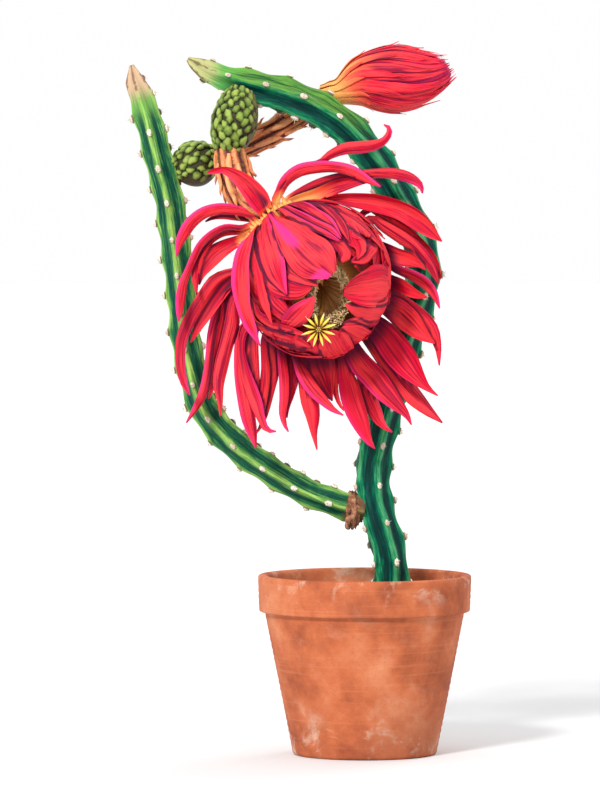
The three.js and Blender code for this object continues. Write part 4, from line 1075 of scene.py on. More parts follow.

# each petal: tip depth, layer off the ball, pink, shade and cup, then the points along it, with
# x, y and width, read off the picture in its pixels
tepals = {
    "armUp": (-50, 0, 0.6, 0.9, -0.3, [(255, 258, 20), (246, 243, 30), (232, 225, 26), (215, 211, 17),
        (200, 205, 10), (188, 207, 8), (180, 209, 2)]),
    "leftTop": (-36, 0, 0.9, 0.2, 0.3, [(236, 264, 10), (215, 258, 14), (195, 257, 16), (175, 263, 18),
        (160, 275, 18), (150, 290, 16), (143, 305, 10), (140, 318, 2)]),
    "leftShade": (-28, 0, 0.1, 0.9, 0.3, [(240, 270, 10), (215, 267, 11), (200, 266, 9), (187, 268, 6),
        (177, 273, 2)]),
    "leftHook": (-40, 0, 0.5, 0.3, 0.3, [(238, 282, 10), (222, 286, 9), (200, 289, 9), (182, 301, 10),
        (171, 318, 12), (166, 335, 13), (165, 350, 10), (166, 367, 2)]),
    "leftBroad": (-30, 0, 0.1, 0.9, -0.3, [(230, 293, 14), (218, 298, 16), (203, 305, 22), (188, 315, 26),
        (177, 330, 20), (171, 345, 8), (169, 355, 2)]),
    "leftArch": (-46, 0, 0.9, 0.3, 0.3, [(240, 276, 8), (225, 281, 8), (203, 280, 8), (185, 289, 9),
        (171, 303, 10), (162, 320, 10), (155, 337, 10), (149, 352, 12), (146, 370, 14), (144, 388, 10),
        (143, 402, 2)]),
    "leftLong": (-50, 0, 0.9, 0.2, 0.3, [(207, 340, 12), (190, 350, 18), (178, 366, 18), (166, 385, 18),
        (155, 405, 18), (147, 425, 16), (145, 445, 14), (146, 465, 13), (150, 482, 10), (157, 497, 2)]),
    "leftDark": (-34, 1, 0.1, 1, -0.3, [(209, 352, 16), (203, 357, 18), (188, 375, 20), (175, 395, 18),
        (165, 413, 12), (158, 430, 2)]),
    "leftSickle": (-30, 0, 0.8, 0.2, 0.3, [(212, 362, 20), (205, 370, 22), (196, 395, 22), (188, 420, 18),
        (184, 445, 14), (181, 470, 14), (176, 492, 14), (166, 513, 10), (152, 535, 2)]),
    "leftInner": (-36, 1, 0.1, 1, -0.3, [(214, 366, 20), (208, 372, 20), (204, 400, 20), (197, 430, 18),
        (192, 455, 14), (188, 480, 10), (181, 503, 2)]),
    "lowerLeft": (-52, 0, 0.3, 0.1, 0.3, [(217, 372, 14), (214, 383, 16), (213, 405, 22), (206, 432, 20),
        (199, 460, 20), (195, 485, 15), (197, 505, 8), (197, 524, 2)]),
    "lowerSpear": (-58, 0, 0.7, 0.3, 0.3, [(226, 412, 12), (221, 430, 12), (221, 450, 14), (223, 472, 17),
        (228, 500, 20), (233, 525, 20), (238, 545, 14), (243, 565, 2)]),
    "pinkHook": (-62, 0, 1, 0, 0.3, [(228, 415, 10), (224, 440, 10), (229, 465, 14), (236, 487, 18),
        (243, 507, 18), (249, 525, 12), (257, 541, 8), (269, 543, 2)]),
    "lowerDark": (-34, 1, 0, 1, -0.3, [(234, 412, 26), (232, 430, 28), (234, 455, 26), (239, 480, 18),
        (244, 503, 8), (247, 516, 2)]),
    "lowerThin": (-40, 0, 0.3, 0.1, 0.3, [(254, 425, 10), (254, 445, 10), (256, 465, 13), (254, 490, 14),
        (252, 513, 9), (249, 531, 2)]),
    "lowerBent": (-30, 0, 0.3, 0.2, 0.3, [(264, 428, 14), (266, 448, 15), (266, 470, 15), (261, 495, 12),
        (255, 520, 10), (250, 537, 6), (242, 550, 2)]),
    "lowerPink": (-56, 0, 1, 0.1, 0.3, [(276, 430, 12), (277, 452, 13), (279, 475, 14), (279, 500, 13),
        (277, 520, 10), (280, 535, 6), (285, 544, 2)]),
    "lowerShort": (-34, 1, 0.2, 0.6, -0.3, [(288, 430, 18), (290, 452, 19), (291, 475, 18),
        (288, 497, 12), (284, 515, 6), (283, 528, 2)]),
    "lowerLeaf": (-48, 0, 0.3, 0.5, 0.4, [(302, 432, 14), (304, 458, 16), (308, 482, 22), (313, 505, 26),
        (317, 525, 20), (318, 545, 10), (322, 568, 2)]),
    "lowerRed": (-36, 0, 0.3, 0.2, -0.3, [(318, 438, 44), (323, 462, 50), (330, 480, 38), (337, 495, 17),
        (342, 506, 2)]),
    "lowerSlant": (-62, 0, 1, 0.1, 0.3, [(290, 436, 10), (296, 452, 12), (304, 470, 18), (316, 488, 18),
        (330, 503, 14), (343, 515, 8), (356, 522, 2)]),
    "lowerSliver": (-40, 1, 0.3, 0.3, 0.3, [(346, 432, 14), (348, 452, 13), (345, 475, 11), (346, 495, 8),
        (351, 510, 5), (357, 518, 2)]),
    "rightSpear": (-44, 0, 0.7, 0.2, 0.3, [(350, 434, 12), (357, 458, 16), (363, 485, 28), (370, 510, 30),
        (380, 535, 24), (388, 555, 12), (397, 567, 2)]),
    "rightPinkTip": (-58, 0, 0.8, 0.2, -0.3, [(368, 440, 26), (380, 460, 32), (394, 475, 33),
        (410, 495, 30), (427, 513, 20), (438, 524, 10), (444, 535, 2)]),
    "rightSmall": (-30, 0, 0.6, 0.6, 0.3, [(374, 455, 12), (381, 480, 14), (390, 503, 22), (399, 523, 20),
        (408, 538, 10), (420, 547, 2)]),
    "rightGreat": (-60, 0, 0.5, 0.5, -0.3, [(392, 405, 30), (408, 418, 36), (425, 440, 42),
        (440, 460, 38), (453, 476, 24), (465, 488, 10), (478, 497, 2)]),
    "rightUnder": (-38, 0, 0.3, 0.3, 0.3, [(390, 424, 22), (405, 445, 24), (425, 473, 26), (445, 497, 26),
        (465, 517, 16), (485, 534, 2)]),
    "rightDeep": (-40, 0, 0.3, 0.7, -0.3, [(396, 372, 24), (408, 378, 26), (425, 388, 34), (442, 403, 34),
        (458, 419, 22), (475, 431, 2)]),
    "rightDrop": (-34, 0, 0.9, 0.3, 0.3, [(410, 364, 10), (425, 370, 12), (443, 382, 14), (458, 397, 19),
        (470, 415, 22), (478, 435, 12), (481, 460, 2)]),
    "rightShort": (-56, 0, 0.2, 0.3, -0.3, [(406, 345, 16), (418, 350, 18), (435, 357, 20),
        (450, 365, 15), (464, 370, 3)]),
    "rightNarrow": (-44, 0, 1, 0.2, 0.3, [(408, 326, 10), (425, 335, 12), (445, 343, 15), (462, 353, 16),
        (474, 367, 11), (481, 385, 2)]),
    "rightHigh": (-60, 0, 0.2, 0.3, -0.3, [(395, 299, 14), (405, 305, 16), (425, 316, 24), (445, 321, 20),
        (457, 328, 9), (462, 334, 2)]),
    "rightFar": (-36, 0, 0.3, 0.2, 0.3, [(394, 270, 12), (407, 279, 16), (427, 292, 19), (447, 306, 19),
        (463, 323, 17), (474, 341, 11), (480, 354, 2)]),
    "rightEdge": (-28, 1, 0.3, 0.5, -0.3, [(392, 256, 10), (405, 262, 14), (425, 276, 17), (447, 292, 18),
        (466, 311, 17), (478, 330, 12), (483, 348, 2)]),
    "topGreat": (-46, 0, 0.2, 0.6, -0.3, [(310, 250, 12), (345, 243, 14), (375, 244, 22), (405, 248, 28),
        (435, 258, 28), (458, 273, 26), (474, 288, 16), (484, 298, 2)]),
    "topCurl": (-26, 0, 0.9, 0.5, 0.3, [(272, 238, 8), (288, 214, 8), (307, 201, 8), (326, 196, 8),
        (340, 187, 13), (358, 180, 17), (378, 178, 18), (398, 175, 16), (411, 168, 12), (417, 157, 9),
        (415, 150, 6), (409, 147, 2)]),
    "topArch": (-50, 0, 1, 0.3, 0.3, [(268, 246, 10), (273, 236, 12), (281, 221, 15), (298, 208, 18),
        (322, 203, 18), (347, 203, 16), (368, 208, 15), (388, 219, 10), (404, 227, 2)]),
    "topLong": (-34, 0, 0.9, 0.1, 0.3, [(282, 246, 8), (300, 235, 11), (325, 224, 14), (350, 217, 14),
        (375, 213, 12), (400, 211, 14), (425, 212, 16), (445, 218, 14), (457, 227, 8), (459, 236, 2)]),
    "topYellow": (-44, 0, 0.1, 0.5, -0.3, [(288, 247, 10), (320, 237, 16), (345, 228, 19), (370, 221, 15),
        (390, 219, 8), (406, 226, 2)]),
}


def fromPicture(table):
    # the same petals with x, z and width in millimetres
    scale, petals = picture["scale"], {}
    for name, (*settings, rows) in table.items():
        points = []
        for x, y, wide in rows:
            points.append((picture["left"] + x * scale, picture["top"] - y * scale, wide * scale))
        petals[name] = (*settings, points)
    return petals


def backOfBall(spread):
    return unit(back + 0.4 * towardsBase + 0.7 * spread)


# where the petals leave the tube all are yellow: a strip in the front view, as x, z and half width
collar = [(-54, 365, 1.5), (-60, 356, 1.6), (-67, 349.5, 1.8), (-79, 338.5, 1.2)]
collarScales = {"count": 26, "first": 1.9, "last": 2.86, "reach": (53, 58), "half": (1.5, 2.2)}


def sagged(offset):
    # an offset from the middle of the ball, stretched a little where it points down
    return offset * np.array([1, 1, bloom["sag"] if offset[2] < 0 else 1.0])


def besideBall(points):
    # 1 right beside the ball and 0 farther out; the shadow reaches farthest to the lower right
    flat = points[..., [0, 2]] - bloom["centre"][[0, 2]]
    squeeze = np.where(flat[..., 1] < 0, 1 / bloom["sag"], 1)
    flat = flat * np.stack([np.ones(squeeze.shape), squeeze], axis=-1)
    away = np.linalg.norm(flat, axis=-1)
    lowerRight = np.clip((flat @ np.array([0.6, -0.8])) / np.maximum(away, 1) * 0.5 + 0.5, 0, 1) ** 2
    return 1 - ease(0.0, 1.0, (away - bloom["ball"]) / (9 + 15 * lowerRight))


def tepalPath(tipDepth, layer, rows, startDepth=None):
    # the whole centre line from the base, round the back of the ball where it must, to the tip
    x0, z0, w0 = rows[0]
    spread = unit(np.array([x0 - bloom["centre"][0], 0, z0 - bloom["centre"][2]]))
    release = unit(spread + 0.36 * back)
    behind = math.acos(float(np.dot(towardsBase, release))) > 0.75
    lift = 1.0 + 2.6 * layer + 1.4 * dice.random()
    bow = -3 if startDepth else dice.uniform(-2, 9)
    path, hints, widths = [], [], []
    if behind:
        rear = backOfBall(spread)
        stops = [turnBetween(towardsBase, rear, t) for t in (0.0, 0.35, 0.7, 1.0)]
        stops += [turnBetween(rear, release, t) for t in (0.35, 0.7)]
        if float(np.dot(towardsBase, rear)) > 0.93:  # the base is behind already
            stops = [turnBetween(towardsBase, release, t) for t in (0.0, 0.3, 0.6, 0.85)]
        for k, away in enumerate(stops):
            beyondBall = (5.5, 1.5)[k] if k < 2 else 0
            path.append(bloom["centre"] + away * (bloom["ball"] + lift + beyondBall))
            hints.append(away)
            widths.append(w0 * mix(0.5, 0.95, k / len(stops)))
        start = path[-1][1]
        inBall = math.hypot(x0 - bloom["centre"][0], z0 - bloom["centre"][2]) < bloom["ball"] + 1
        shown = rows[1:] if inBall else rows
    else:
        side = np.array([x0 - bloom["base"][0], 0, z0 - bloom["base"][2]])
        side = side + towardsBase * -float(np.dot(side, towardsBase))
        path.append(bloom["base"] - towardsBase * 1.5 + unit(side) * 5.5)
        hints.append(unit(side * 0.5 + back * 0.5))
        widths.append(w0 * 0.7)
        start = startDepth or bloom["base"][1] - 4
        shown = rows
    hidden = len(path)
    for i, (x, z, width) in enumerate(shown):
        share = (i + 1) / len(shown)
        path.append((x, mix(start, tipDepth, share) + bow * math.sin(math.pi * share), z))
        hints.append(unit(back + 0.25 * spread))
        widths.append(width)
    return path, hints, widths, hidden


tepalShape = {"steps": 34, "columns": 13, "widened": 1.06, "rippled": 0.06, "firstDepth": {"armUp": -51}}
yellowBased = ("topYellow",)
clearOfBall = ("armUp", "topCurl", "topArch", "topLong")


def addCollar(gathered):
    # short yellow scales where the petals leave the tube, every other one a little nearer the front
    c = collarScales
    for k in range(c["count"]):
        angle = mix(c["first"], c["last"], (k + 0.7 * dice.random()) / c["count"])
        out = np.array([math.cos(angle), 0, math.sin(angle)])
        odd = k % 2
        reach = dice.uniform(*c["reach"]) - 2 * odd
        knots = ((45, 3), (50, 2.5), (reach, -2))
        path = [bloom["centre"] + out * away + front * (raised + 1.2 * odd) for away, raised in knots]
        line, _ = smoothCurve(path, 10)
        s = np.linspace(0, 1, 10)
        half = dice.uniform(*c["half"]) * (1 - np.maximum(0, (s - 0.4) / 0.6) ** 1.8)
        hints = np.broadcast_to(front, line.shape)
        rings, across, along = bladeRings(line, hints, half, 7, cup=-0.4, thick=0.9)
        # painted shade towards the edges of each scale
        edge = ease(0.55, 1, np.abs(across * 2 - 1))
        yellow = 0.95 - 0.6 * ease(0.55, 1, along) - 0.3 * edge
        gathered.skin(rings, across, along, dice.random(), (0, 0.5 * edge, yellow))


def makeTepals():
    gathered = Gathering()
    petals = fromPicture(tepals)
    outlines = [([(x, z, width / 2) for x, z, width in row[5]], row[0]) for row in petals.values()]
    for k, (name, (tipDepth, layer, pink, shade, cup, rows)) in enumerate(petals.items()):
        path, hints, widths, hidden = tepalPath(tipDepth, layer, rows, tepalShape["firstDepth"].get(name))
        seen = [float(i >= hidden) for i in range(len(path))]
        line, hints, length, s, widths, seen = petalLine(path, hints, tepalShape["steps"], widths, seen)
        half = widths / 2 * tepalShape["widened"]
        started = float(s[np.argmax(seen > 0.5)])
        flip = k % 3 == 0
        roll = ease(started, 1, s) * dice.uniform(-0.3, 0.3)
        curl = cup * 1.5 * (0.4 + 0.6 * ease(0, 0.5, s))
        ripple = tepalShape["rippled"] * widths * ease(started, 0.9, s)
        rings, across, along = bladeRings(line, hints, half, tepalShape["columns"], cup=curl, roll=roll,
                                          ripple=ripple, waves=dice.uniform(1.5, 3), thick=0.75,
                                          turn=dice.random() * 6, crease=0.12, pleat=0.018)
        behind = started * 0.9
        pinks, shades, yellows = petalPaint(across, along, length, pink, shade, flip=flip, hidden=behind)
        yellows = np.maximum(yellows, 1 - ease(0, 6.0, outsideOf(rings, collar)))
        if name in yellowBased:
            shown = (along - behind) / (1 - behind)
            yellows = np.maximum(yellows, 0.9 * ease(0.62, 0.2, shown))
        for other, otherDepth in outlines:
            if otherDepth < tipDepth - 5:
                shades = np.maximum(shades, 0.9 - ease(0.0, 2.8, np.abs(outsideOf(rings, other))))
        if name not in clearOfBall:
            shades = np.maximum(shades, besideBall(rings))
        paint = (pinks, shades * (1 - 0.8 * yellows), yellows)
        gathered.skin(rings, across, along, dice.random(), paint)
    addCollar(gathered)
    gathered.piece("bloomTepals", petalRed, "petal", "bloom_petals")


makeTepals()


# Back of the bloom: shorter outer petals that overlap from the base over the ball

def ballPath(first, last, lift, count=9, baseLift=5.5):
    # a path over the ball between two directions, which starts a little out, at the base
    path, hints = [], []
    for t in np.linspace(0, 1, count):
        away = unit(turnBetween(first, last, t))
        reach = bloom["ball"] + lift + baseLift * (1 - ease(0, 0.3, t))
        path.append(bloom["centre"] + away * reach)
        hints.append(away)
    return path, hints


def aroundAxis(axis, angle):
    side = unit(np.cross(axis, np.array([0.31, 0.9, 0.2])))
    return side * math.cos(angle) + np.cross(axis, side) * math.sin(angle)


# each row of sepals: how many, angle from the base, width, lift off the ball, pink, yellow length
sepalRows = ((11, 1.75, 15, 2.4, 0.25, 9), (13, 1.25, 13, 3.6, 0.1, 14), (11, 0.8, 10, 4.8, 0.0, 20))


def makeSepals():
    gathered = Gathering()
    for r, (count, reach, width, lift, pink, yellow) in enumerate(sepalRows):
        for k in range(count):
            angle = (k + 0.5 * (r % 2)) * math.tau / count + dice.uniform(-0.1, 0.1)
            side = aroundAxis(towardsBase, angle)
            facing = float(np.dot(side, front))
            if facing > 0.25:
                continue
            turn = reach * dice.uniform(0.88, 1.1)
            last = towardsBase * math.cos(turn) + side * math.sin(turn)
            path, hints = ballPath(towardsBase, last, lift)
            path[-1] = path[-1] + hints[-1] * 2.5
            line, hints, length, s = petalLine(path, hints, 26)
            half = width / 2 * lanceWidth(s)
            cup = -half / (2 * bloom["ball"]) * 1.3 - 0.12
            rings, across, along = bladeRings(line, hints, half, 11, cup=cup, ripple=0.5 * ease(0.3, 1, s),
                                              thick=0.8, turn=k)
            paint = petalPaint(across, along, length, pink, 0.25 + 0.2 * r, yellow)
            gathered.skin(rings, across, along, dice.random(), paint)
    gathered.piece("bloomSepals", petalRed, "petal", "bloom_petals")


makeSepals()


# Heart of the bloom: a closed cup inside the petals, open at the mouth

heart = {
    "radius": 43.0, "arc": (-1.54, 0.92), "flutes": 18, "flute": 0.35,
    "throat": [(24.5, 34), (24.5, 28), (21, 20), (15, 13), (8, 9), (1.5, 8)],
}


def alongMouth(points):
    # turns points whose z runs along the mouth's axis into the model's frame
    axis = bloom["mouth"]
    side = unit(np.array([1.0, 0, 0]) - axis * axis[0])
    other = np.cross(axis, side)
    return bloom["centre"] + points[..., :1] * side + points[..., 1:2] * other + points[..., 2:3] * axis


def heartFinish():
    flesh = Finish("throatFlesh", {"Specular IOR Level": 0.3, "Emission Strength": 0.22})
    where = flesh.where()
    across, along, own = flesh.read("place")
    lines = flesh.cloud(flesh.vector(across * 26, own * 26, along * 1.2), 2.2, 4, 0.6)
    stops = [
        (0.0, rgb(126, 16, 40)), (0.44, rgb(150, 24, 40)), (0.5, rgb(104, 74, 48)),
        (0.62, rgb(150, 104, 62)), (0.8, rgb(226, 156, 86)), (1.0, rgb(214, 134, 68)),
    ]
    colour = flesh.ramp(along + (lines - 0.5) * 0.35, stops)
    flesh.colour(colour)
    # painted light: the deep throat is given a faint glow (the emission strength set above), so the hollow
    # looks lit though no lamp reaches into it
    glow = flesh.blend((0, 0, 0), colour, along.between(0.6, 0.9))
    flesh.feed(flesh.shader.inputs["Emission Color"], glow)
    flesh.rough(0.5 + lines * 0.2)
    flesh.relief(lines + flesh.cloud(where, 700) * 0.3, 0.5, 0.0006)
    return flesh.material


def makeHeart():
    angles = fullTurn(90)
    arc = np.linspace(*heart["arc"], 40)
    shell = [(heart["radius"] * math.cos(a), heart["radius"] * math.sin(a)) for a in arc]
    throat = smoothCurve([(r, h, 0) for r, h in heart["throat"]], 30)[0][:, :2].tolist()
    outline = np.array(shell + throat)
    along = np.concatenate([np.linspace(0, 0.44, len(shell)), np.linspace(0.5, 1, len(throat))])
    flutes = heart["flute"] * np.sin(angles * heart["flutes"])[None, :] * (along[:, None] > 0.45)
    radius = outline[:, :1] + flutes
    rings = np.stack([radius * np.cos(angles), radius * np.sin(angles),
                      np.broadcast_to(outline[:, 1:], radius.shape)], axis=-1)
    gathered = Gathering()
    gathered.skin(alongMouth(rings), across=np.cos(angles)[None, :], along=along[:, None],
                  own=np.sin(angles)[None, :])
    gathered.piece("bloomHeart", heartFinish(), "petal", "bloom_petals")


makeHeart()


# Globe: broad petals wrapped round the ball

# the petals that show from the front: lift off the ball, pink, shade, crown and lip, then the points
# along the petal, as for the outer petals
globePetals = {
    "rightBelly": (2.6, 0.3, -0.42, 1.1, 3.6, [(414, 352, 46), (402, 353, 56), (388, 355, 52),
        (374, 356, 46), (362, 358, 32), (355, 360, 12)]),
    "rightFold": (1.8, 0.1, 0, 1.2, 1.5, [(412, 392, 16), (412, 374, 22), (409, 355, 24), (406, 338, 22),
        (411, 321, 2)]),
    "rightChin": (2.4, 0.2, -0.2, 1.4, 1, [(409, 385, 30), (391, 388, 28), (373, 384, 17),
        (358, 377, 3)]),
    "rightLow": (1.6, 0.1, -0.3, 1.4, 1, [(402, 404, 20), (385, 403, 26), (370, 402, 22), (355, 401, 3)]),
    "bottomRight": (1.8, 0.1, -0.42, 1.5, 1.6, [(392, 430, 32), (378, 425, 42), (364, 416, 36),
        (353, 408, 10)]),
    "bottomMiddle": (2.6, 0.2, -0.42, 1.5, 1.6, [(352, 446, 36), (347, 434, 44), (341, 422, 38),
        (336, 411, 12)]),
    "bottomLeft": (2, 0.1, -0.42, 1.4, 1.6, [(312, 448, 36), (310, 436, 46), (307, 424, 42),
        (305, 413, 14)]),
    "bottomFar": (1.6, 0.1, -0.2, 1.4, 1.2, [(272, 438, 28), (278, 428, 36), (287, 418, 32),
        (296, 410, 8)]),
    "lowStrip": (2.6, 0.1, 0.3, 1.2, 0.5, [(243, 404, 10), (256, 412, 18), (276, 418, 20), (296, 424, 16),
        (314, 433, 3)]),
    "lowestStrip": (2.8, 0.1, 0.2, 1.2, 0.8, [(247, 424, 14), (264, 436, 22), (288, 443, 20),
        (310, 446, 14), (328, 446, 3)]),
    "midStrip": (3.2, 0.2, 0.3, 1.2, 0.5, [(240, 378, 10), (246, 392, 14), (262, 404, 14), (284, 409, 12),
        (308, 417, 3)]),
    "leftCheek": (2.4, 0.1, 0.2, 1.5, 1, [(258, 360, 24), (266, 376, 34), (278, 387, 28), (291, 398, 3)]),
    "leftBrow": (3, 0.1, 0.2, 1.4, 1, [(262, 352, 20), (280, 358, 26), (298, 360, 20), (315, 355, 3)]),
    "innerTall": (3.9, 0.6, -0.3, 1.2, 1, [(280, 410, 12), (286, 402, 24), (297, 391, 30), (308, 380, 22),
        (318, 367, 4)]),
    "innerShelf": (2.6, 0.1, 0.2, 1.3, 1, [(282, 330, 18), (296, 340, 24), (310, 346, 20),
        (323, 352, 3)]),
    "topInner": (1.6, 0.3, 0.4, 1.2, 2, [(338, 292, 20), (350, 301, 26), (356, 312, 24), (351, 322, 6)]),
    "topFlap": (2.4, 0.2, 0.4, 1.2, 2, [(366, 276, 20), (370, 292, 26), (376, 306, 20), (373, 319, 3)]),
    "topShade": (1.4, 0, 0.8, 1.2, 0.5, [(395, 296, 20), (388, 306, 26), (380, 316, 22), (366, 322, 3)]),
    "ridgeUnder": (2.4, 0.1, 0.5, 1.2, 0.5, [(330, 252, 16), (352, 268, 22), (366, 284, 20),
        (382, 296, 3)]),
    "ridgeRight": (2.6, 0.1, 0.2, 1.2, 0.5, [(312, 242, 12), (345, 256, 18), (374, 272, 24),
        (394, 291, 18), (407, 309, 2)]),
    "ridgeTop": (3.6, 0.2, 0.5, 1.2, 0.5, [(292, 240, 10), (325, 241, 14), (358, 248, 16), (388, 262, 18),
        (403, 276, 12), (411, 288, 2)]),
    "fanFour": (3, 0.2, 0.6, 1.2, 0.5, [(284, 244, 8), (310, 244, 14), (335, 255, 16), (352, 275, 14),
        (363, 297, 2)]),
    "fanThree": (4, 1, 0.3, 1.2, 0.5, [(277, 246, 8), (296, 248, 16), (318, 258, 19), (338, 273, 15),
        (353, 290, 2)]),
    "fanTwo": (4.4, 1.2, 0.8, 1.1, 0.5, [(276, 251, 7), (296, 260, 11), (318, 271, 12), (338, 280, 10),
        (352, 293, 2)]),
    "fanOne": (5.4, 1, 0.4, 1.1, 0.5, [(275, 256, 6), (290, 265, 9), (312, 277, 10), (333, 286, 9),
        (351, 296, 2)]),
    "leftSlip": (3.2, 0.1, 0.3, 1.2, 0.5, [(235, 296, 12), (242, 322, 16), (248, 350, 17), (255, 378, 15),
        (265, 405, 2)]),
    "leftTwin": (4.2, 0.1, 0.5, 1.2, 0.5, [(244, 286, 12), (251, 308, 17), (257, 328, 17), (267, 346, 11),
        (276, 359, 2)]),
    "leftBlade": (5.8, 0.8, 0.2, 1.3, 0.5, [(255, 273, 14), (257, 292, 30), (263, 314, 37),
        (269, 334, 31), (276, 350, 16), (283, 364, 2)]),
    "spoon": (7.2, 1.2, 0.5, 1, 1.5, [(268, 269, 12), (283, 283, 36), (298, 298, 52), (312, 312, 60),
        (327, 325, 50), (341, 338, 18)]),
    "leftSide": (6.2, 1.7, -0.42, 1.3, 0.5, [(232, 296, 16), (224, 318, 26), (222, 344, 29),
        (224, 370, 27), (230, 392, 22), (239, 413, 14), (249, 432, 2)]),
}
# the rows that close the ball on every side: how many, width, lift, share of a step it is turned by,
# angle of the rim from the mouth's axis and how much that varies, curl of the rim, crown
closingRows = (
    (9, 33, -2.2, 0.0, 0.6, 0.0, 0.0, 1.2),
    (9, 30, 0.0, 0.5, 0.68, 0.04, 2.0, 1.5),
    (11, 22, 2.2, 0.2, 0.86, 0.3, 3.2, 1.5),
)
# a standing petal leaves the ball at this share of its radius, this deep, and falls back from there
standingPetal = {"from": 0.72, "depth": 0.694, "fall": 0.95}
slowRise = {"innerTall": (0.1, 0.6, 1.0, 1.1, 1.2)}  # shares of the lift at its points


def onBall(x, z, lift, standing=False):
    # the point of the ball's front, raised by lift, behind this spot of the front view
    below = z < bloom["centre"][2]
    fall = (z - bloom["centre"][2]) / (bloom["sag"] if below else 1)
    away = math.hypot(x - bloom["centre"][0], fall)
    radius = bloom["ball"] + lift
    leaving = standingPetal["from"] * radius
    if standing and away > leaving:
        depth = standingPetal["depth"] * radius - standingPetal["fall"] * (away - leaving)
        return np.array([x, bloom["centre"][1] - depth, z])
    depth = math.sqrt(max(radius * radius - away * away, 4.0))
    if away > radius - 0.04:
        shrink = (radius - 0.04) / away
        x, z = mix(bloom["centre"][0], x, shrink), mix(bloom["centre"][2], z, shrink)
    return np.array([x, bloom["centre"][1] - depth, z])


def globePetal(gathered, path, hints, half, pink, shade, crown, lip, own, flip, yellow, hidden,
               covers=(), middle=False):
    line, hints, length, s, widths = petalLine(path, hints, 40, half)
    cup = -widths / (2 * bloom["ball"]) * crown - 0.05 + lip * 0.14 * ease(0.7, 1, s)
    wave = 0.09 * widths * ease(0.2, 0.8, s) + lip * 0.4 * ease(0.62, 0.95, s)
    rings, across, along = bladeRings(line, hints, widths, 19, cup=cup, ripple=wave, waves=2.5 + own * 2,
                                      thick=0.8, turn=own * 9, crease=-0.05, pleat=0.022)
    pinks, shades, yellows = petalPaint(across, along, length, pink, shade, yellow, flip, hidden, middle)
    for outline in covers:
        shades = np.maximum(shades, 0.95 - ease(0.1, 2.4, np.abs(outsideOf(rings, outline) + 0.3)))
    gathered.skin(rings, across, along, own, (pinks, shades, yellows))


def makeGlobe():
    gathered = Gathering()
    for count, widest, lift, offset, rimAngle, rimVaries, rimCurl, crown in closingRows:
        for k in range(count):
            equator = aroundAxis(bloom["mouth"], (k + offset) * math.tau / count)
            opened = rimAngle + rimVaries * dice.random()
            rim = unit(bloom["mouth"] * math.cos(opened) + equator * math.sin(opened))
            if lift > 0 and float(np.dot(unit(equator + 0.3 * rim), front)) > 0.3:
                continue  # the front has petals of its own
            path, hints = [], []
            for t in np.linspace(0, 1, 10):
                away = unit(towardsBase * (1 - t) ** 2 + equator * 3.2 * t * (1 - t) + rim * t * t)
                curl = -2.0 * t ** 4 + rimCurl * ease(0.86, 1, t)
                reach = bloom["ball"] + lift + curl + 5 * (1 - ease(0, 0.25, t))
                path.append(bloom["centre"] + sagged(away) * reach)
                hints.append(away)
            s = np.linspace(0, 1, 10)
            opening = 0.3 + 0.7 * np.sin(np.minimum(s / 0.6, 1) * math.pi / 2)
            closing = np.sqrt(np.maximum(0, 1 - np.maximum(0, (s - 0.6) / 0.42) ** 2))
            half = widest / 2 * opening * closing
            globePetal(gathered, path, hints, half, pink=0.3, shade=0.35, crown=crown, lip=1.2,
                       own=dice.random(), flip=bool(k % 2), yellow=12, hidden=0.1)
    petals = fromPicture(globePetals)
    outlines = [(row[0], [(x, z, width / 2) for x, z, width in row[5]]) for row in petals.values()]
    for name, (lift, pink, shade, crown, lip, rows) in petals.items():
        standing = name == "leftSide"
        rise = list(slowRise.get(name, [1.0] * len(rows)))
        lifts = [lift * share for share in rise]
        lifts[-1] += 0.9
        spots = [onBall(x, z, raised, standing) for (x, z, _), raised in zip(rows, lifts)]
        first = unit(spots[0] - bloom["centre"])
        facing = float(np.dot(towardsBase, first))
        swing = math.acos(float(np.clip(facing, -1, 1)))
        path = [bloom["base"] - towardsBase * 2.5 + unit(first - towardsBase * facing) * 4]
        hints, half = [unit(towardsBase + first)], [rows[0][2] * 0.22]
        between = int(swing / 0.45) if swing > 0.5 else 0
        for t in np.arange(1, between + 1) / (between + 1):
            away = turnBetween(towardsBase, first, t)
            reach = bloom["ball"] + lift * mix(0.3, 1, t) + 2.5 * (1 - t) ** 2
            path.append(bloom["centre"] + away * reach)
            hints.append(away)
            half.append(rows[0][2] / 2 * mix(0.5, 1, t))
        hidden = len(path) / (len(path) + len(rows))
        for spot, (x, z, width) in zip(spots, rows):
            path.append(spot)
            hints.append(unit(unit(spot - bloom["centre"]) + 0.8 * standing * front))
            half.append(width / 2)
        covers = [outline for above, outline in outlines if above > lift + 0.1]
        globePetal(gathered, path, hints, half, pink, shade, crown, lip, dice.random(),
                   flip=name in ("spoon", "leftSide"), yellow=6 if swing < 0.9 else 9,
                   hidden=hidden * 0.6, covers=covers, middle=name == "spoon")
    gathered.piece("bloomGlobe", petalRed, "petal", "bloom_petals")


makeGlobe()


# Stamens: filaments up the throat wall and a crowd of anthers round the mouth

stamens = {
    "filaments": 330, "turn": 2.399963, "walls": (22.4, 20.4, 18.0), "top": 34.5,
    "thickness": (0.42, 0.26),
    "anthers": 560, "outer": 22.6, "inward": 8.4, "antherRadii": (1.35, 0.62, 0.62),
    "narrow": 0.62, "aside": 1.5,
}


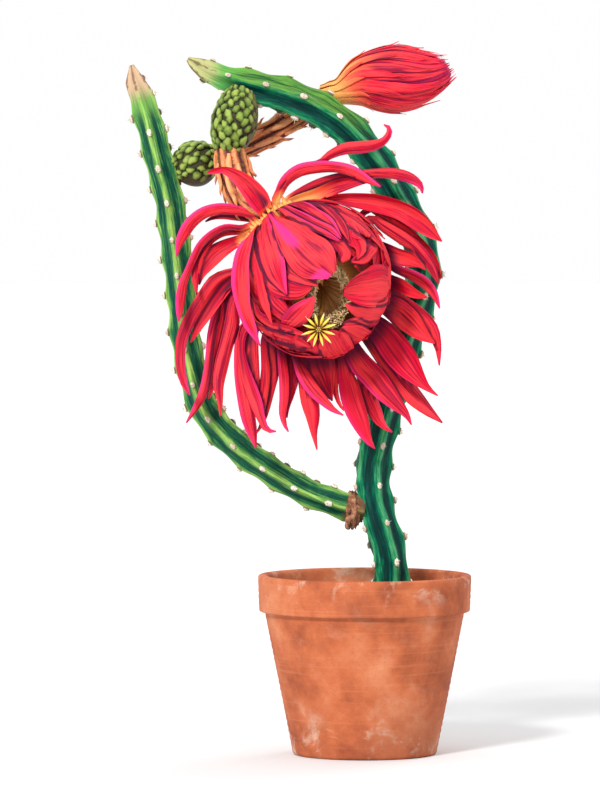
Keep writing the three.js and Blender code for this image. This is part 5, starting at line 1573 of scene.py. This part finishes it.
def stamenFinish():
    look = {"dark": rgb(168, 100, 50), "gold": rgb(226, 166, 98), "cream": rgb(236, 206, 156),
            "pollen": rgb(206, 178, 124), "brown": rgb(110, 80, 52)}
    thread = Finish("stamens", {"Specular IOR Level": 0.3})
    where = thread.where()
    anther, along, own = thread.read("place")
    cloud = thread.cloud(where, 1400, 4, 0.7)
    stops = [(0.0, look["dark"]), (0.4, look["gold"]), (1.0, look["cream"])]
    filament = thread.ramp(along + (own - 0.5) * 0.3, stops)
    stops = [(0.2, look["brown"]), (0.5, look["pollen"]), (0.8, look["cream"])]
    head = thread.ramp(own * 0.6 + cloud * 0.5, stops)
    thread.colour(thread.blend(filament, head, anther))
    thread.rough(0.6 + cloud * 0.3)
    thread.relief(cloud, 0.6, 0.0004)
    return thread.material


def mouthOval(radius, angle, height):
    x = radius * stamens["narrow"] * math.cos(angle) - stamens["aside"]
    return x, radius * math.sin(angle), height


def makeStamens():
    gathered = Gathering()
    for k in range(stamens["filaments"]):
        angle = k * stamens["turn"]
        layer = k % 3
        top = stamens["top"] + 4.0 * dice.random()
        sway = dice.uniform(-0.16, 0.16)
        wall = stamens["walls"][layer]
        rows = [
            (5.5 + 2 * layer * dice.random(), 10.2), (wall * 0.62, 15.5 + layer),
            (wall * 0.92, 23 + layer), (wall, top - 5), (wall - 2.0 - 2.5 * dice.random(), top),
        ]
        bends = [mouthOval(r, angle + sway * t, h) for (r, h), t in zip(rows, (0, 0.3, 0.6, 0.9, 1.2))]
        line, _ = smoothCurve(bends, 12)
        _, right, up = carriedFrame(line, (0.3, 0.4, 0.1))
        thin = np.linspace(*stamens["thickness"], 12)[:, None]
        rings = ringsAround(line, right, up, thin, fullTurn(5))
        shares = np.linspace(0, 1, 12)[:, None]
        gathered.skin(alongMouth(rings), across=0.0, along=shares, own=dice.random())
    for k in range(stamens["anthers"]):
        angle = dice.random() * math.tau
        depth = dice.random()
        radius = stamens["outer"] - stamens["inward"] * depth + dice.uniform(-0.6, 0.6)
        height = 35.4 + 3.6 * math.sin(math.pi * min(1, depth * 1.1 + 0.1)) - 3 * depth ** 3
        spot = np.array(mouthOval(radius, angle, height + dice.uniform(-1.6, 1.2)))
        size = dice.uniform(0.7, 1.0)
        radii = [size * own for own in stamens["antherRadii"]]
        shape = lump((0, 0, 0), radii, 7, 8, 0.12, 2.0, k)
        lean, spin = dice.uniform(-1.3, 1.3), dice.random() * math.tau
        x, y, z = shape[..., 0], shape[..., 1], shape[..., 2]
        x, z = turned(x, z, lean)
        x, y = turned(x, y, spin)
        placed = alongMouth(np.stack([x, y, z], axis=-1) + spot)
        gathered.skin(placed, across=1.0, along=1.0, own=dice.random())
    gathered.piece("bloomStamens", stamenFinish(), "stamens", "bloom_stamens")


makeStamens()


# Stigma: a style that comes out over the lower lip and a star of twelve pointed lobes

stigma = {
    "centre": (-30.5, -96, 282), "lobes": 12, "long": 11.8, "wide": 2.35, "warts": 7,
    "style": [(-28, -74, 304), (-29.5, -90, 288)], "thickness": (1.15, 1.45),
}


def stigmaFinish():
    star = Finish("stigmaYellow", {"Specular IOR Level": 0.35})
    across, along, _ = star.read("place")
    cloud = star.cloud(star.where(), 1300, 4, 0.65)
    edge = abs(across * 2 - 1)
    stops = [
        (0.0, rgb(96, 58, 24)), (0.2, rgb(150, 102, 30)), (0.42, rgb(222, 186, 52)),
        (0.7, rgb(236, 212, 84)), (1.0, rgb(240, 230, 160)),
    ]
    colour = star.ramp(along + (cloud - 0.5) * 0.3, stops)
    rim = (edge + (cloud - 0.5) * 0.4).between(0.62, 0.98) * 0.75
    star.colour(star.blend(colour, rgb(120, 76, 24), rim))
    star.rough(0.5 + cloud * 0.2)
    star.relief(cloud, 0.5, 0.0004)
    return star.material


def makeStigma():
    gathered = Gathering()
    hub = np.array(stigma["centre"], float)
    foot = bloom["centre"] - bloom["mouth"] * 7
    line, _ = smoothCurve([foot, *stigma["style"], hub + (0, 1.2, 0)], 30)
    _, right, up = carriedFrame(line, (1, 0, 0))
    rings = ringsAround(line, right, up, np.linspace(*stigma["thickness"], 30)[:, None], fullTurn(14))
    gathered.skin(rings, across=0.5, along=0.1, own=0.5)
    button = lump(hub + (0, -0.4, 0), (1.9, 1.2, 1.9), 12, 18, 0.1, 3, 2)
    gathered.skin(button, across=0.5, along=0.0, own=0.4)
    for k in range(stigma["warts"]):  # one in the middle and the others in a ring round it
        a = k * math.tau / (stigma["warts"] - 1)
        reach = 1.2 * (k > 0)
        spot = hub + (reach * math.cos(a), -1.3, reach * math.sin(a))
        wart = lump(spot, (0.5, 0.5, 0.5), 6, 8, 0.1, 3, k)
        gathered.skin(wart, across=0.5, along=0.35, own=dice.random())
    for k in range(stigma["lobes"]):
        a = (k + 0.5) * math.tau / stigma["lobes"] + dice.uniform(-0.06, 0.06)
        out = np.array([math.cos(a), 0, math.sin(a)])
        reach = stigma["long"] * (0.92 if k % 2 else 1.0) * dice.uniform(0.97, 1.03)
        path = [
            hub + out * 1.6, hub + out * reach * 0.35 + front * 1.6,
            hub + out * reach * 0.7 + front * 1.8, hub + out * reach + front * dice.uniform(1.6, 3.0),
        ]
        line, _ = smoothCurve(path, 18)
        s = np.linspace(0, 1, 18)
        opening = 0.3 + 0.7 * ease(0.05, 0.6, s)
        half = stigma["wide"] / 2 * opening * (1 - np.maximum(0, (s - 0.45) / 0.55) ** 1.8)
        hints = np.broadcast_to(front, line.shape)
        rings, across, along = bladeRings(line, hints, half, 9, cup=-0.45, thick=1.3)
        gathered.skin(rings, across, 0.12 + 0.88 * along, dice.random())
    gathered.piece("bloomStigma", stigmaFinish(), "stigma", "bloom_stigma")


makeStigma()


# Bud: long petals wound over a slim core, whose points stand out at the tip

bud = {  # rows hold x, y, z and the radius
    "rows": [(-25, 23, 433.5, 6), (-16, 22, 435, 7.5), (0, 20, 441, 17), (20, 18, 443, 22),
             (35, 17, 444.5, 19.5), (50, 16, 448.5, 12), (58, 15, 452, 4)],
    # petals in the layer, start, end, width, lift, pink, yellow length
    "layers": [(15, 0.02, 1.0, 10, -1.2, 0.6, 24), (14, 0.0, 0.97, 9.5, -0.5, 0.5, 34),
               (12, 0.0, 0.86, 8.5, 0.2, 0.25, 48), (11, 0.0, 0.62, 7.0, 0.8, 0.1, 54),
               (11, -0.04, 0.36, 5.0, 1.3, 0.0, 60), (9, 0.5, 0.99, 8.0, -4.6, 1.0, 4),
               (7, 0.55, 0.99, 7.0, -8.0, 1.0, 4), (4, 0.6, 0.99, 6.0, -11.0, 1.0, 4)],
    "steps": 90, "coreRings": 86, "coreSink": 2.4, "closesFrom": 0.9,
}


def makeBud():
    gathered = Gathering()
    steps = bud["steps"]
    line, length = smoothCurve(bud["rows"], steps)
    points, radii = line[:, :3], line[:, 3]
    forward, right, up = carriedFrame(points, (0, 1, 0))
    share = np.linspace(0, 1, steps)[:, None]
    core = slice(0, bud["coreRings"])
    inside = radii[core, None] - bud["coreSink"]
    rings = ringsAround(points[core], right[core], up[core], inside, fullTurn(40))
    gathered.skin(rings, across=0.5, along=share[core], own=0.3, paint=(0.7, 0.5, 0.0))
    for r, (count, start, end, width, lift, pink, yellow) in enumerate(bud["layers"]):
        for k in range(count):
            first = (k + 0.37 * r) * math.tau / count + dice.uniform(-0.12, 0.12)
            last = end * dice.uniform(0.95, 1.0)
            twist = dice.uniform(0.55, 0.95) * (last - start)
            path, hints = [], []
            for t in np.linspace(0, 1, 11):
                run = mix(start, last, t)
                i = int(np.clip(run * (steps - 1), 0, steps - 1))
                angle = first + twist * t
                away = right[i] * math.sin(angle) + up[i] * math.cos(angle)
                flick = dice.uniform(0.8, 3.0) if t == 1 else 0
                radius = radii[i] + lift + flick - 1.6 * (1 - ease(0, 0.2, t))
                if run > bud["closesFrom"]:
                    closed = radii[79] * 0.82 + lift
                    radius = mix(radius, closed, ease(bud["closesFrom"], 1.0, run) * 0.6)
                before = min(run, 0) * length
                path.append(points[i] + forward[i] * before + away * max(radius, 1.5))
                hints.append(away)
            even, hints, petalLength, s = petalLine(path, hints, 30)
            half = width / 2 * lanceWidth(s ** 0.9)
            cup = -half / 30 - 0.12 + 0.2 * ease(0.7, 1, s)
            rings, across, along = bladeRings(even, hints, half, 9, cup=cup, ripple=0.25 * ease(0.2, 1, s),
                                              thick=0.7, roll=0.07, turn=k)
            rooted = yellow * dice.uniform(0.7, 1.3)
            pinks, shades, yellows = petalPaint(across, along, petalLength, pink, 0.35, rooted, bool(k % 2))
            # painted shade along one edge of each petal, fading out near its tip
            rim = ease(0.62, 1.0, across * 2 - 1) * ease(1.0, 0.8, along)
            paint = (pinks, np.maximum(shades * (1 - 0.7 * yellows), 0.85 * rim), yellows)
            gathered.skin(rings, across, along, dice.random(), paint)
    gathered.piece("budPetals", petalRed, "petal", "bud_petals")


makeBud()


# Studio: a plain pale floor and soft light

def sunLight(name, fromSpot, strength, softness):
    data = bpy.data.lights.new(name, "SUN")
    data.energy, data.angle = strength, math.radians(softness)
    lamp = bpy.data.objects.new(name, data)
    lamp.rotation_euler = (-Vector(fromSpot)).to_track_quat("-Z", "Y").to_euler()
    scene.collection.objects.link(lamp)


sunLight("keyLight", (-0.45, -1.0, 0.75), 2.7, 9)
sunLight("backLight", (0.7, 1.0, 0.8), 0.8, 30)

world = bpy.data.worlds.new("studio")
world.use_nodes = True
world.node_tree.nodes["Background"].inputs["Color"].default_value = (0.995, 0.995, 1.0, 1)
world.node_tree.nodes["Background"].inputs["Strength"].default_value = 1.0
scene.world = world
scene.view_settings.view_transform = "Standard"

floorShape = {"radius": 12, "sides": 64, "greys": ((0.7, 0.7, 0.7), (0.72, 0.72, 0.72))}
floorMesh = bpy.data.meshes.new("floor")
floorRing = [
    (floorShape["radius"] * math.cos(a), floorShape["radius"] * math.sin(a), 0)
    for a in fullTurn(floorShape["sides"])
]
floorMesh.from_pydata(floorRing, [], [tuple(range(floorShape["sides"]))])
floorPiece = bpy.data.objects.new("floor", floorMesh)
scene.collection.objects.link(floorPiece)
floorFinish = Finish("floorPale", {"Specular IOR Level": 0.1})
patches = floorFinish.cloud(floorFinish.where(), 3, 3)
floorFinish.colour(floorFinish.blend(*floorShape["greys"], patches))
floorFinish.rough(0.9)
floorMesh.materials.append(floorFinish.material)
